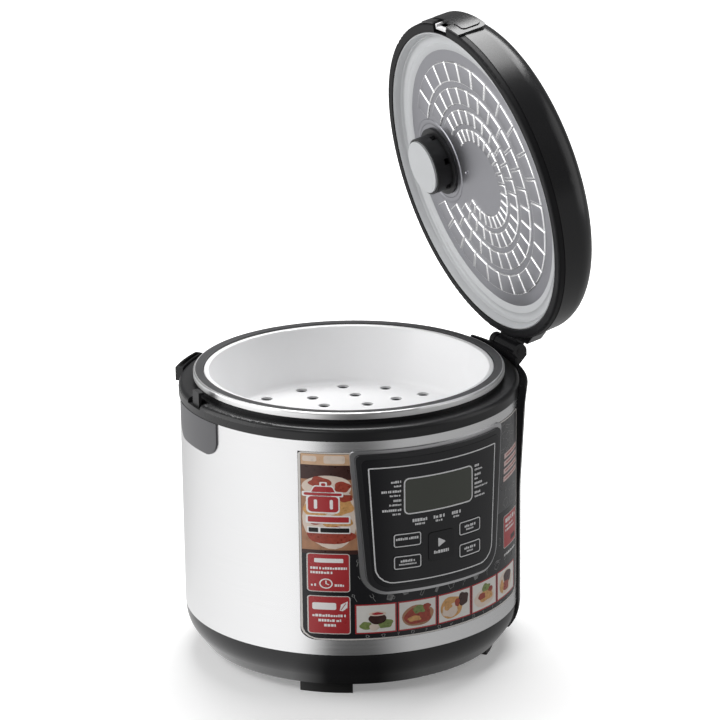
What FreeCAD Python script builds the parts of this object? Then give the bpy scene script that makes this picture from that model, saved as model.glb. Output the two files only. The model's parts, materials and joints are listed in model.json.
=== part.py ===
import FreeCAD, Part

import math
import operator
import os

import Sketcher

# Round electric multicooker with its hinged lid open, in millimetres.
# Origin: on the pot's centre line, at the height the feet rest on. +Z is up, the lid's hinge is
# on the +X side with its pin along Y, the latch on the -X side and the control panel towards -Y.
# Azimuths run from -Y (0) towards +X (90). Lid pieces are drawn shut and then swung open together.

X_AXIS, Y_AXIS, Z_AXIS = FreeCAD.Vector(1, 0, 0), FreeCAD.Vector(0, 1, 0), FreeCAD.Vector(0, 0, 1)

doc = FreeCAD.newDocument("multicooker")

driving = {
    # housing
    "body_margin": 11.5,
    "steel_sheet": 0.8,
    "wrap_bottom": 41.7,
    "wrap_height": 183.1,
    "foot_height": 9.6,
    "base_floor": 2.4,
    "base_wall": 2.6,
    "base_taper": 15.5,
    "base_curve": 30.0,
    "collar_lip": 1.0,
    "collar_height": 10.5,
    "collar_wall": 2.0,
    "fit_gap": 0.3,
    # bowl, basket and heating
    "bowl_radius": 121.6,
    "bowl_wall": 1.8,
    "bowl_corner": 24.0,
    "rim_width": 8.4,
    "rim_lip": 5.4,
    "rim_height": 9.7,
    "shoulder_step": 2.0,
    "shoulder_depth": 3.8,
    "basket_depth": 48.6,
    "basket_taper": 13.6,
    "basket_wall": 2.0,
    "basket_hole": 5.0,
    "basket_edge": 12.9,
    "basket_ring_pitch": 23.4,
    "shield_gap": 3.6,
    "shield_floor": 62.0,
    "shield_screw_inset": 25.2,
    "post_height": 19.9,
    "plate_gap": 0.3,
    "plate_margin": 19.6,
    "post_inset": 14.0,
    "plate_thickness": 12.0,
    "element_radius": 64.0,
    "element_tube": 4.0,
    "sensor_radius": 15.0,
    "sensor_travel": 2.5,
    # lid
    "lid_inset": 2.0,
    "rim_clearance": 1.3,
    "gasket_band": 15.3,
    "stud_inset": 28.0,
    "lid_wall": 2.5,
    "lid_height": 50.0,
    "rim_ring_height": 5.6,
    "inner_plate_depth": 9.7,
    "inner_plate_sheet": 1.0,
    "lid_open_angle": 77.7,
    "hinge_offset": 10.5,
    "hinge_rise": 3.7,
    "pin_radius": 2.5,
    "barrel_radius": 6.0,
    "barrel_half": 14.0,
    "knuckle_width": 7.0,
    "knuckle_rim": 0.5,
    "arm_half": 46.0,
    "arm_waist": 33.0,
    "arm_height": 13.5,
    "hinge_wall_half": 16.0,
    # steam valve
    "valve_inset": 44.0,
    "valve_radius": 25.0,
    "valve_flange": 29.5,
    "valve_height": 18.0,
    "duct_radius": 15.6,
    "vent_radius": 20.0,
    "vent_depth": 22.0,
    # latch
    "latch_half": 27.0,
    "hood_rise": 1.4,
    "button_rise": 2.2,
    "latch_height": 17.0,
    "catch_half": 6.0,
    # control panel, turned a little towards the hinge
    "panel_bearing": 3.6,
    "panel_drop": 10.8,
    "panel_height": 117.0,
    "panel_top_half": 69.0,
    "panel_bottom_half": 60.5,
    "panel_corner": 17.0,
    "panel_rise": 3.4,
    "panel_front": 2.0,
    "trim_width": 3.0,
    "overlay_inset": 4.0,
    "overlay_film": 0.4,
    "window_half": 32.5,
    "window_drop": 21.5,
    "window_height": 31.0,
    "key_travel": 0.8,
    "side_key_offset": 29.6,
    "side_key_half": 11.8,
    "side_key_height": 12.0,
    "upper_key_drop": 80.0,
    "lower_key_drop": 99.0,
    "start_key_half": 11.8,
    "start_key_drop": 95.0,
    "start_key_height": 24.0,
    "board_thickness": 1.6,
    "label_half": 104.0,
    "label_drop": 8.8,
    "label_height": 161.0,
    "label_film": 0.25,
    # outer fittings
    "ear_half": 35.0,
    "ear_drop": 28.8,
    "ear_corner": 14.0,
    "ear_rise": 1.4,
    "holder_bearing": -136.0,
    "holder_half_angle": 9.0,
    "holder_reach": 6.5,
    "holder_height": 11.5,
    "holder_wall": 1.8,
    "column_half_angle": 37.0,
    "column_rise": 2.0,
    "column_swell": 6.0,
    "inlet_half": 14.0,
    "inlet_height": 21.0,
    "inlet_bottom": 37.5,
    "foot_inset": 5.0,
    "foot_width": 15.0,
    "foot_half_angle": 10.5,
    "foot_bearing": -37.0,
    "screw_radius": 1.8,
    "screw_head": 3.6,
    "screw_head_height": 2.0,
    "boss_radius": 6.0,
    "standoff_radius": 3.5,
    "standoff_height": 12.0,
}

sheet = doc.addObject("Spreadsheet::Sheet", "Sizes")
for row, (alias, value) in enumerate(driving.items(), start=1):
    sheet.set(f"A{row}", alias.replace("_", " "))
    sheet.set(f"B{row}", str(value))
    sheet.setAlias(f"B{row}", alias)
doc.recompute()


class Size:
    """A length or angle: its number now, and the sheet formula that drives it."""

    def __init__(self, number, formula):
        self.number = float(number)
        self.formula = formula

    def __add__(self, other):
        return merged(self, "+", other, operator.add)

    def __sub__(self, other):
        return merged(self, "-", other, operator.sub)

    def __mul__(self, other):
        return merged(self, "*", other, operator.mul)

    def __truediv__(self, other):
        return merged(self, "/", other, operator.truediv)

    def __neg__(self):
        return merged(Size(0, "0"), "-", self, operator.sub)


def as_size(value):
    return value if isinstance(value, Size) else Size(value, f"({value:.6g})")


def merged(left, sign, right, work):
    left, right = as_size(left), as_size(right)
    return Size(work(left.number, right.number), f"({left.formula} {sign} {right.formula})")


def cos(angle):
    angle = as_size(angle)
    return Size(math.cos(math.radians(angle.number)), f"cos({angle.formula})")


def sin(angle):
    angle = as_size(angle)
    return Size(math.sin(math.radians(angle.number)), f"sin({angle.formula})")


class Driving:
    """The sheet's values by name, as sizes."""

    def __getattr__(self, alias):
        return Size(driving[alias], f"Sizes.{alias}")


s = Driving()

# ---------------------------------------------------------------- ways of making a shape


def bind(thing, **sizes):
    """Ties properties to the sheet; Placement__Base__x stands for Placement.Base.x."""
    for name, size in sizes.items():
        thing.setExpression(name.replace("__", "."), as_size(size).formula)
    return thing


def carried(thing):
    """A primitive keeps its own place, so it is put in a compound that can be moved as a whole."""
    if thing.TypeId not in ("Part::Box", "Part::Cylinder", "Part::Torus"):
        return thing
    return group(thing.Name + "_carried", thing)


def turned(thing, angle, axis=Z_AXIS):
    """Turns a finished shape about an axis through the origin."""
    thing = carried(thing)
    thing.Placement = FreeCAD.Placement(FreeCAD.Vector(), FreeCAD.Rotation(axis, as_size(angle).number))
    return bind(thing, Placement__Rotation__Angle=angle)


def cylinder(name, radius, low, high, at=(0, 0), along="z"):
    """A round bar; at gives its centre in the two other directions, in X, Y, Z order."""
    bar = doc.addObject("Part::Cylinder", name)
    turn = {"z": (Z_AXIS, 0), "y": (X_AXIS, -90), "x": (Y_AXIS, 90)}[along]
    bar.Placement = FreeCAD.Placement(FreeCAD.Vector(), FreeCAD.Rotation(*turn))
    places = {"z": (at[0], at[1], low), "y": (at[0], low, at[1]), "x": (low, at[0], at[1])}[along]
    bind(bar, Radius=radius, Height=as_size(high) - low)
    return bind(bar, Placement__Base__x=places[0], Placement__Base__y=places[1], Placement__Base__z=places[2])


def block(name, x, y, z):
    """A box between pairs of coordinates."""
    box = doc.addObject("Part::Box", name)
    bind(box, Length=as_size(x[1]) - x[0], Width=as_size(y[1]) - y[0], Height=as_size(z[1]) - z[0])
    return bind(box, Placement__Base__x=x[0], Placement__Base__y=y[0], Placement__Base__z=z[0])


def fused(name, *shapes):
    made = doc.addObject("Part::MultiFuse", name)
    made.Shapes = list(shapes)
    return made


def common(name, *shapes):
    made = doc.addObject("Part::MultiCommon", name)
    made.Shapes = list(shapes)
    return made


def cut(name, base, *tools):
    made = doc.addObject("Part::Cut", name)
    made.Base = base
    made.Tool = tools[0] if len(tools) == 1 else fused(name + "_tools", *tools)
    return made


def group(name, *shapes):
    """Separate solids kept together as one node."""
    made = doc.addObject("Part::Compound", name)
    made.Links = list(shapes)
    return made


def tube(name, inner, outer, low, high, at=(0, 0), along="z"):
    bar = cylinder(name + "_outer", outer, low, high, at, along)
    bore = cylinder(name + "_bore", inner, as_size(low) - 1, as_size(high) + 1, at, along)
    return cut(name, bar, bore)


def sector(name, inner, outer, low, high, azimuth, half):
    """Part of a ring about the centre line, centred on an azimuth."""
    bar = cylinder(name + "_outer", outer, low, high)
    bind(bar, Angle=as_size(half) * 2, Placement__Rotation__Angle=as_size(azimuth) - half - 90)
    bar.Placement.Rotation = FreeCAD.Rotation(Z_AXIS, (as_size(azimuth) - half - 90).number)
    return cut(name, bar, cylinder(name + "_bore", inner, as_size(low) - 1, as_size(high) + 1))


def origin_plane(body, role):
    return next(plane for plane in body.Origin.OriginFeatures if plane.Role == role)


def hold(sketch, geometry, end, x, y):
    """Holds one point of a sketch at sizes measured from its origin."""
    for kind, axis, size in (("DistanceX", -2, as_size(x)), ("DistanceY", -1, as_size(y))):
        if size.number == 0:
            sketch.addConstraint(Sketcher.Constraint("PointOnObject", geometry, end, axis))
            continue
        index = sketch.addConstraint(Sketcher.Constraint(kind, -1, 1, geometry, end, size.number))
        sketch.setExpression(f"Constraints[{index}]", size.formula)


def draw(sketch, corners):
    """A closed outline through corners (x, y) or (x, y, radius), where a radius rounds the corner."""
    spots = [FreeCAD.Vector(as_size(c[0]).number, as_size(c[1]).number, 0) for c in corners]
    rounds = [as_size(c[2]) if len(c) > 2 else None for c in corners]
    count = len(corners)
    before, after, centres, left_turn = [], [], [], []
    for i, spot in enumerate(spots):
        back = (spots[i - 1] - spot).normalize()
        ahead = (spots[(i + 1) % count] - spot).normalize()
        left_turn.append((-back).cross(ahead).z > 0)
        if rounds[i] is None:
            before.append(spot)
            after.append(spot)
            centres.append(None)
            continue
        half = back.getAngle(ahead) / 2
        before.append(spot + back * (rounds[i].number / math.tan(half)))
        after.append(spot + ahead * (rounds[i].number / math.tan(half)))
        centres.append(spot + (back + ahead).normalize() * (rounds[i].number / math.sin(half)))
    lines = [
        sketch.addGeometry(Part.LineSegment(after[i], before[(i + 1) % count]), False)
        for i in range(count)
    ]
    for i, corner in enumerate(corners):
        last = lines[i - 1]
        if rounds[i] is None:
            sketch.addConstraint(Sketcher.Constraint("Coincident", last, 2, lines[i], 1))
            hold(sketch, lines[i], 1, corner[0], corner[1])
            continue
        first, second = (before[i], after[i]) if left_turn[i] else (after[i], before[i])
        angles = [math.atan2(p.y - centres[i].y, p.x - centres[i].x) for p in (first, second)]
        circle = Part.Circle(centres[i], Z_AXIS, rounds[i].number)
        arc = sketch.addGeometry(Part.ArcOfCircle(circle, angles[0], angles[1]), False)
        start, end = (1, 2) if left_turn[i] else (2, 1)
        sketch.addConstraint(Sketcher.Constraint("Tangent", last, 2, arc, start))
        sketch.addConstraint(Sketcher.Constraint("Tangent", arc, end, lines[i], 1))
        mark = sketch.addGeometry(Part.Point(spots[i]), True)
        hold(sketch, mark, 1, corner[0], corner[1])
        sketch.addConstraint(Sketcher.Constraint("PointOnObject", mark, 1, last))
        sketch.addConstraint(Sketcher.Constraint("PointOnObject", mark, 1, lines[i]))
        index = sketch.addConstraint(Sketcher.Constraint("Radius", arc, rounds[i].number))
        sketch.setExpression(f"Constraints[{index}]", rounds[i].formula)


def sketched(name, role, corners):
    body = doc.addObject("PartDesign::Body", name)
    sketch = body.newObject("Sketcher::SketchObject", name + "_outline")
    sketch.AttachmentSupport = (origin_plane(body, role), [""])
    sketch.MapMode = "FlatFace"
    draw(sketch, corners)
    return body, sketch


def turned_profile(name, corners, sweep=None):
    """A half section (radius, height) turned about the centre line; a sweep is centred on the hinge side."""
    body, sketch = sketched(name, "XZ_Plane", corners)
    feature = body.newObject("PartDesign::Revolution", name + "_turned")
    feature.Profile = sketch
    feature.ReferenceAxis = (sketch, ["V_Axis"])
    if sweep is None:
        feature.Angle = 360
    else:
        feature.Midplane = True
        bind(feature, Angle=sweep)
    body.Tip = feature
    return body


def raised_outline(name, corners, length, role="XZ_Plane", both=False):
    """An outline padded square to its plane: towards -Y from XZ, +X from YZ, +Z from XY."""
    body, sketch = sketched(name, role, corners)
    feature = body.newObject("PartDesign::Pad", name + "_pad")
    feature.Profile = sketch
    feature.Midplane = both
    bind(feature, Length=length)
    body.Tip = feature
    return body


nodes = {}


def keep(label, thing, solids=1):
    """Registers a finished sub-part under the name of its file, with the number of its solids."""
    thing.Label = label
    nodes[label] = (thing, solids)
    return thing


# ---------------------------------------------------------------- heights and radii worked out once

rim_radius = s.bowl_radius + s.rim_width
steel_radius = rim_radius + s.body_margin
wrap_top = s.wrap_bottom + s.wrap_height
wrap_inner = steel_radius - s.steel_sheet
base_bottom_radius = steel_radius - s.base_taper
foot_outer = base_bottom_radius - s.foot_inset
foot_inner = foot_outer - s.foot_width
collar_radius = steel_radius + s.collar_lip
deck = wrap_top + s.collar_height
rim_top = deck + s.rim_height
rim_under = rim_top - s.bowl_wall
bowl_bottom = s.shield_floor + s.steel_sheet + s.post_height + s.plate_thickness + s.plate_gap
bowl_outer = s.bowl_radius + s.bowl_wall
bowl_low_radius = s.bowl_radius - s.shoulder_step
basket_floor_radius = s.bowl_radius - s.basket_taper
shield_inner = bowl_outer + s.shield_gap / 2
shield_screw_ring = shield_inner - s.shield_screw_inset
plate_radius = bowl_low_radius - s.plate_margin
plate_top = bowl_bottom - s.plate_gap
plate_low = plate_top - s.plate_thickness
floor_top = s.foot_height + s.base_floor
lid_radius = steel_radius - s.lid_inset
rim_opening = rim_radius + s.rim_clearance
inner_plate_radius = rim_opening - s.gasket_band
valve_offset = inner_plate_radius - s.valve_inset
hinge_reach = steel_radius + s.hinge_offset
lid_face = deck + s.fit_gap
lid_plate = lid_face + s.inner_plate_depth
lid_top = lid_face + s.lid_height
hinge_height = lid_face + s.hinge_rise
panel_top = wrap_top - s.panel_drop
panel_bottom = panel_top - s.panel_height
window_top = panel_top - s.window_drop
window_bottom = window_top - s.window_height
label_top = wrap_top - s.label_drop
label_bottom = label_top - s.label_height
ear_bottom = wrap_top - s.ear_drop
panel_face = steel_radius + s.panel_rise
overlay_face = panel_face + s.overlay_film

# ---------------------------------------------------------------- base, feet and steel wrap


def base_shell():
    wall_out = steel_radius - s.fit_gap
    shell = turned_profile("base_turned_shell", [
        (0, s.foot_height),
        (base_bottom_radius, s.foot_height, 3),
        (wall_out, s.foot_height + 20, s.base_curve),
        (wall_out, s.wrap_bottom),
        (wrap_inner - s.fit_gap, s.wrap_bottom),
        (wrap_inner - s.fit_gap, s.wrap_bottom + 6),
        (wrap_inner - s.fit_gap - s.base_wall, s.wrap_bottom + 6),
        (wrap_inner - s.fit_gap - s.base_wall, s.foot_height + 22, s.base_curve - s.base_wall),
        (base_bottom_radius - s.base_wall, floor_top, 2),
        (0, floor_top),
    ])
    bosses = [
        cylinder(f"shield_boss_{i}", s.boss_radius, floor_top - 0.5, s.shield_floor,
                 ring_place(shield_screw_ring, azimuth))
        for i, azimuth in enumerate(shield_bearings)
    ]
    standoffs = [
        cylinder(f"board_standoff_{i}", s.standoff_radius, floor_top - 0.5, board_height, place)
        for i, place in enumerate(board_corners)
    ]
    vents = [
        turned(block(f"vent_slot_{i}", vent_reach, vent_width, (s.foot_height - 1, floor_top + 1)),
               360 / vent_count * i)
        for i in range(vent_count)
    ]
    screw_holes = [
        cylinder(f"base_screw_hole_{i}", s.screw_radius + 0.1, s.foot_height - 1, floor_top + 1, place)
        for i, place in enumerate(base_screw_places)
    ]
    socket = block("base_socket_hole", (steel_radius - 14, steel_radius + 1), inlet_span, inlet_heights)
    joined = fused("base_with_bosses", shell, *bosses, *standoffs)
    keep("base_shell", cut("base_shell", joined, *vents, *screw_holes, socket))


def ring_place(radius, azimuth):
    """X and Y of a point on a ring about the centre line."""
    return as_size(radius) * sin(azimuth), -(as_size(radius) * cos(azimuth))


vent_count, vent_reach, vent_width = 18, (34, 62), (-1.5, 1.5)
shield_bearings = (30, 150, 270)
base_screw_places = [ring_place(foot_inner - 12, s.foot_bearing + 45 + 90 * i) for i in range(4)]
board_height = floor_top + s.standoff_height
board_span = ((-64, 26), (-30, 30))
board_corners = [(x, y) for x in (-58, 20) for y in (-24, 24)]
inlet_span = (-s.inlet_half - s.fit_gap, s.inlet_half + s.fit_gap)
inlet_heights = (s.inlet_bottom - s.fit_gap, s.inlet_bottom + s.inlet_height + s.fit_gap)


def rubber_feet():
    feet = [
        sector(f"foot_{i}", foot_inner, foot_outer, 0, s.foot_height, s.foot_bearing + 90 * i,
               s.foot_half_angle)
        for i in range(4)
    ]
    keep("rubber_feet", group("rubber_feet", *feet), 4)


def screw(name, place, head_low, shank_high):
    """A pan-head screw driven upwards."""
    head = cylinder(name + "_head", s.screw_head, head_low, as_size(head_low) + s.screw_head_height, place)
    shank = cylinder(name + "_shank", s.screw_radius, head_low, shank_high, place)
    return fused(name, head, shank)


def base_screws():
    head_low = s.foot_height - s.screw_head_height - 0.02
    screws = [
        screw(f"base_screw_{i}", place, head_low, floor_top + 6)
        for i, place in enumerate(base_screw_places)
    ]
    keep("base_screws", group("base_screws", *screws), 4)


def panel_outline(name, grow, length=200):
    """The control panel's outline, grown or shrunk all round."""
    corner = s.panel_corner + grow
    bottom, top = panel_bottom - grow, panel_top + grow
    return raised_outline(name, [
        (-s.panel_bottom_half - grow, bottom, corner),
        (s.panel_bottom_half + grow, bottom, corner),
        (s.panel_top_half + grow, top, 4),
        (-s.panel_top_half - grow, top, 4),
    ], length)


def steel_wrap():
    wrap = tube("wrap_tube", wrap_inner, steel_radius, s.wrap_bottom, wrap_top)
    window = turned(panel_outline("wrap_window", as_size(-6)), s.panel_bearing)
    socket = block("wrap_socket_hole", (steel_radius - 14, steel_radius + 1), inlet_span, inlet_heights)
    keep("steel_wrap", cut("steel_wrap", wrap, window, socket))


def top_collar():
    seat_out = rim_radius - s.bowl_wall - s.fit_gap
    skirt_out = wrap_inner - s.fit_gap
    ring = turned_profile("collar_turned", [
        (collar_radius, wrap_top + s.fit_gap),
        (collar_radius, deck, 4),
        (seat_out, deck),
        (seat_out, rim_under - s.fit_gap),
        (shield_inner - s.fit_gap, rim_under - s.fit_gap),
        (shield_inner - s.fit_gap, deck - 2.5),
        (skirt_out - s.collar_wall, deck - 2.5),
        (skirt_out - s.collar_wall, wrap_top - 7),
        (skirt_out, wrap_top - 7),
        (skirt_out, wrap_top + s.fit_gap),
    ])
    recess = block("catch_recess", (-collar_radius - 1, -rim_radius - 3), (-12, 12), (deck - 4.5, deck + 1))
    keep("top_collar", cut("top_collar", ring, recess))


def lid_catch():
    """A hook that rises through the collar; its nose points at the bowl and holds the latch bar."""
    width = (-s.catch_half, s.catch_half)
    post = block("catch_post", (catch_back - 2.5, catch_back), width, (deck - 4.4, catch_top))
    nose = block("catch_nose", (catch_back - 0.5, catch_back + 2.3), width, (catch_top - 2, catch_top))
    keep("lid_catch", fused("lid_catch", post, nose))


catch_back = -lid_radius + 1.9
catch_top = lid_face + 7.6
latch_bottom = catch_top + s.fit_gap * 2


def latch_ear():
    """The dark tongue that hangs over the steel below the latch."""
    plate = tube("ear_ring", steel_radius + 0.1, steel_radius + s.ear_rise, ear_bottom - 5, wrap_top + 5)
    outline = raised_outline("ear_outline", [
        (-s.ear_half, ear_bottom, s.ear_corner),
        (s.ear_half, ear_bottom, s.ear_corner),
        (s.ear_half, wrap_top),
        (-s.ear_half, wrap_top),
    ], 200)
    keep("latch_ear", common("latch_ear", plate, turned(outline, -90)))


def ladle_holder():
    """A loop on the collar's side, open above, that a ladle or measuring cup hangs in."""
    low = wrap_top + s.fit_gap - 0.6
    reach = collar_radius + s.holder_reach
    half = s.holder_half_angle
    ring = sector("holder_ring", collar_radius + 0.1, reach, low, low + s.holder_height,
                  s.holder_bearing, half)
    slot = sector("holder_slot", collar_radius + s.holder_wall / 2, reach - s.holder_wall,
                  low - 1, low + s.holder_height + 1, s.holder_bearing, half - 1)
    keep("ladle_holder", cut("ladle_holder", ring, slot))


def rear_column():
    """The back cover on the hinge side, with a knuckle at each end of the hinge."""
    skin = steel_radius + s.fit_gap
    face = steel_radius + s.column_rise
    crown = hinge_height - s.barrel_radius - 1.5
    low = s.foot_height + 8
    low_radius = base_bottom_radius + s.base_taper * 0.4 + 1
    column = turned_profile("column_turned", [
        (low_radius, low),
        (low_radius + s.column_rise, low, 1),
        (face, s.foot_height + 20, s.base_curve),
        (face, s.wrap_bottom),
        (face, s.wrap_bottom + 100, 200),
        (steel_radius + s.column_swell, wrap_top - 10, 60),
        (steel_radius + s.column_swell + 2, crown, 1.5),
        (collar_radius + s.fit_gap, crown),
        (collar_radius + s.fit_gap, wrap_top - 0.5),
        (skin, wrap_top - 0.5),
        (skin, s.foot_height + 20, s.base_curve),
    ], s.column_half_angle * 2)
    wall = sector("hinge_wall", collar_radius + s.fit_gap, hinge_reach - s.barrel_radius - 0.8,
                  crown - 5, cover_low - 1.2, 90, s.hinge_wall_half)
    inner, outer = s.barrel_half + s.fit_gap, s.barrel_half + s.fit_gap + s.knuckle_width
    knuckle = s.barrel_radius + s.knuckle_rim
    foot_x = steel_radius + s.column_swell
    web = raised_outline("knuckle_web", [
        (foot_x - 4, crown - 8),
        (foot_x, crown - 8),
        (hinge_reach + knuckle, hinge_height - 4),
        (hinge_reach + knuckle, hinge_height),
        (foot_x - 4, hinge_height),
    ], outer * 2, both=True)
    bar = cylinder("knuckle_bar", knuckle, -outer, outer, (hinge_reach, hinge_height), "y")
    gap = block("knuckle_gap", (hinge_reach - knuckle - 0.4, hinge_reach + knuckle + 5), (-inner, inner),
                (hinge_height - knuckle - 0.5, hinge_height + knuckle + 1))
    knuckles = cut("knuckles", fused("knuckles_joined", web, bar), gap)
    under = cylinder("barrel_clear", s.barrel_radius + 0.6, -inner, inner, (hinge_reach, hinge_height), "y")
    socket = block("column_socket_hole", (steel_radius - 1, steel_radius + 12), inlet_span, inlet_heights)
    bore = cylinder("column_pin_bore", s.pin_radius + 1.5, -outer - 1, outer + 1,
                    (hinge_reach, hinge_height), "y")
    keep("rear_column", cut("rear_column", fused("column_with_knuckles", column, wall, knuckles),
                            socket, bore, under))


def inlet():
    """Mains inlet in the foot of the column: a flanged socket with three pins."""
    face = steel_radius + s.column_rise
    middle = s.inlet_bottom + s.inlet_height / 2
    housing = block("inlet_housing", (face - 24, face), (-s.inlet_half, s.inlet_half),
                    (s.inlet_bottom, s.inlet_bottom + s.inlet_height))
    flange = block("inlet_flange", (face + 0.1, face + 2), (-s.inlet_half - 3, s.inlet_half + 3),
                   (s.inlet_bottom - 3, s.inlet_bottom + s.inlet_height + 3))
    cavity = block("inlet_cavity", (face - 16, face + 3), (-s.inlet_half + 2.5, s.inlet_half - 2.5),
                   (s.inlet_bottom + 2.5, s.inlet_bottom + s.inlet_height - 2.5))
    joined = fused("inlet_joined", housing, flange, block("inlet_neck", (face - 0.5, face + 0.5),
                   (-s.inlet_half, s.inlet_half), (s.inlet_bottom, s.inlet_bottom + s.inlet_height)))
    keep("inlet_socket", cut("inlet_socket", joined, cavity))
    pins = [
        block(f"inlet_pin_{i}", (face - 16, face - 2), (y - 1, y + 1), (middle + rise - 2, middle + rise + 2))
        for i, (y, rise) in enumerate(((-7, -1.5), (0, 2.5), (7, -1.5)))
    ]
    keep("inlet_pins", group("inlet_pins", *pins), 3)


# ---------------------------------------------------------------- bowl, basket and heating


def inner_bowl():
    bowl = turned_profile("inner_bowl", [
        (0, bowl_bottom),
        (bowl_low_radius + s.bowl_wall, bowl_bottom, s.bowl_corner),
        (bowl_low_radius + s.bowl_wall, rim_top - s.shoulder_depth - s.bowl_wall),
        (bowl_outer, rim_top - s.shoulder_depth - s.bowl_wall),
        (bowl_outer, rim_under),
        (rim_radius - s.bowl_wall, rim_under),
        (rim_radius - s.bowl_wall, rim_top - s.rim_lip),
        (rim_radius, rim_top - s.rim_lip),
        (rim_radius, rim_top, 1.6),
        (s.bowl_radius, rim_top),
        (s.bowl_radius, rim_top - s.shoulder_depth),
        (bowl_low_radius, rim_top - s.shoulder_depth),
        (bowl_low_radius, bowl_bottom + s.bowl_wall, s.bowl_corner - s.bowl_wall),
        (0, bowl_bottom + s.bowl_wall),
    ])
    keep("inner_bowl", bowl)


basket_rings = ((16, -23.3), (12, -30.5), (8, -45.1), (4, -10.0))  # holes in a ring, bearing of its first


def steamer_basket():
    top = rim_top - 1.2
    floor = top - s.basket_depth
    rim = s.bowl_radius - 0.4
    wall_top = bowl_low_radius - 0.7
    shell = turned_profile("basket_shell", [
        (0, floor - s.basket_wall),
        (basket_floor_radius, floor - s.basket_wall, 8),
        (wall_top, rim_top - s.shoulder_depth + 0.1),
        (rim, rim_top - s.shoulder_depth + 0.1),
        (rim, top, 0.8),
        (wall_top - s.basket_wall, top, 0.8),
        (basket_floor_radius - s.basket_wall, floor, 6),
        (0, floor),
    ])
    holes = [cylinder("basket_hole_middle", s.basket_hole, floor - s.basket_wall - 1, floor + 1)]
    for ring, (count, first) in enumerate(basket_rings):
        radius = basket_floor_radius - s.basket_edge - s.basket_ring_pitch * ring
        for i in range(count):
            place = ring_place(radius, first + 360 / count * i)
            holes.append(cylinder(f"basket_hole_{ring}_{i}", s.basket_hole, floor - s.basket_wall - 1,
                                  floor + 1, place))
    keep("steamer_basket", cut("steamer_basket", shell, *holes))


def heat_shield():
    outer = shield_inner + s.steel_sheet
    cup = turned_profile("shield_cup", [
        (13, s.shield_floor),
        (outer, s.shield_floor, 6),
        (outer, deck - 2.5 - s.fit_gap),
        (shield_inner, deck - 2.5 - s.fit_gap),
        (shield_inner, s.shield_floor + s.steel_sheet, 5.2),
        (13, s.shield_floor + s.steel_sheet),
    ])
    places = [ring_place(shield_screw_ring, azimuth) for azimuth in shield_bearings]
    hole = s.screw_radius + 0.2
    holes = [
        cylinder(f"shield_screw_hole_{i}", hole, s.shield_floor - 1, s.shield_floor + 2, place)
        for i, place in enumerate(places)
    ]
    keep("heat_shield", cut("heat_shield", cup, *holes))
    low = s.shield_floor + s.steel_sheet
    screws = [
        fused(f"shield_screw_{i}",
              cylinder(f"shield_screw_head_{i}", s.screw_head, low, low + s.screw_head_height, place),
              cylinder(f"shield_screw_shank_{i}", s.screw_radius, s.shield_floor + 0.02, low + 1, place))
        for i, place in enumerate(places)
    ]
    keep("shield_screws", group("shield_screws", *screws), 3)


def heating_plate():
    disc = turned_profile("heating_disc", [
        (s.sensor_radius + 1, plate_low),
        (plate_radius, plate_low, 2),
        (plate_radius, plate_top, 3),
        (s.sensor_radius + 1, plate_top),
    ])
    groove = doc.addObject("Part::Torus", "element_groove")
    bind(groove, Radius1=s.element_radius, Radius2=s.element_tube + 0.1, Placement__Base__z=plate_low)
    keep("heating_plate", cut("heating_plate", disc, groove))
    element = doc.addObject("Part::Torus", "heating_element")
    element.Angle3 = 300
    bind(element, Radius1=s.element_radius, Radius2=s.element_tube, Placement__Base__z=plate_low)
    keep("heating_element", element)
    posts = [
        cylinder(f"plate_post_{i}", 5, s.shield_floor + s.steel_sheet, plate_low,
                 ring_place(plate_radius - s.post_inset, azimuth))
        for i, azimuth in enumerate((60, 180, 300))
    ]
    keep("plate_posts", group("plate_posts", *posts), 3)
    fuse = cylinder("thermal_fuse", 3, 24, 46, (-30, plate_low - 3.1), "x")
    keep("thermal_fuse", fuse)


def bowl_sensor():
    """A sprung cap in the middle of the heating plate that feels the bowl's bottom."""
    low = s.shield_floor + s.steel_sheet
    sleeve_top = plate_top - s.sensor_travel - 5.6
    keep("sensor_sleeve", tube("sensor_sleeve", 11, 14.5, low, sleeve_top))
    keep("sensor_spring", tube("sensor_spring", 7, 9, low, plate_top - s.sensor_travel - 6.2))
    head = cylinder("sensor_head", s.sensor_radius, plate_top - 5, plate_top)
    skirt = tube("sensor_skirt", 9.2, 10.7, plate_top - 16, plate_top - 4.5)
    keep("sensor_cap", fused("sensor_cap", head, skirt))


def electronics():
    top = board_height + s.board_thickness
    board = block("power_board_sheet", board_span[0], board_span[1], (board_height, top))
    holes = [
        cylinder(f"board_hole_{i}", s.screw_radius + 0.1, board_height - 1, top + 1, place)
        for i, place in enumerate(board_corners)
    ]
    keep("power_board", cut("power_board", board, *holes))
    keep("transformer", block("transformer", (-50, -14), (-16, 16), (top, top + 26)))
    keep("relay", block("relay", (-4, 16), (-8, 8), (top, top + 15.5)))
    screws = [
        fused(f"board_screw_{i}", cylinder(f"board_screw_head_{i}", 3, top, top + s.screw_head_height, place),
              cylinder(f"board_screw_shank_{i}", s.screw_radius, board_height + 0.02, top + 1, place))
        for i, place in enumerate(board_corners)
    ]
    keep("board_screws", group("board_screws", *screws), 4)


# ---------------------------------------------------------------- control panel


def panel_piece(label, thing, solids=1):
    """A piece drawn facing -Y and turned to the panel's bearing."""
    return keep(label, turned(thing, s.panel_bearing), solids)


def rounded_window(name, middle, half, bottom, height, corner, grow=0, length=200):
    """A rounded rectangle through the panel."""
    half, bottom, height = as_size(half) + grow, as_size(bottom) - grow, as_size(height) + as_size(grow) * 2
    return raised_outline(name, [
        (as_size(middle) - half, bottom, corner),
        (as_size(middle) + half, bottom, corner),
        (as_size(middle) + half, bottom + height, corner),
        (as_size(middle) - half, bottom + height, corner),
    ], length)


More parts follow.
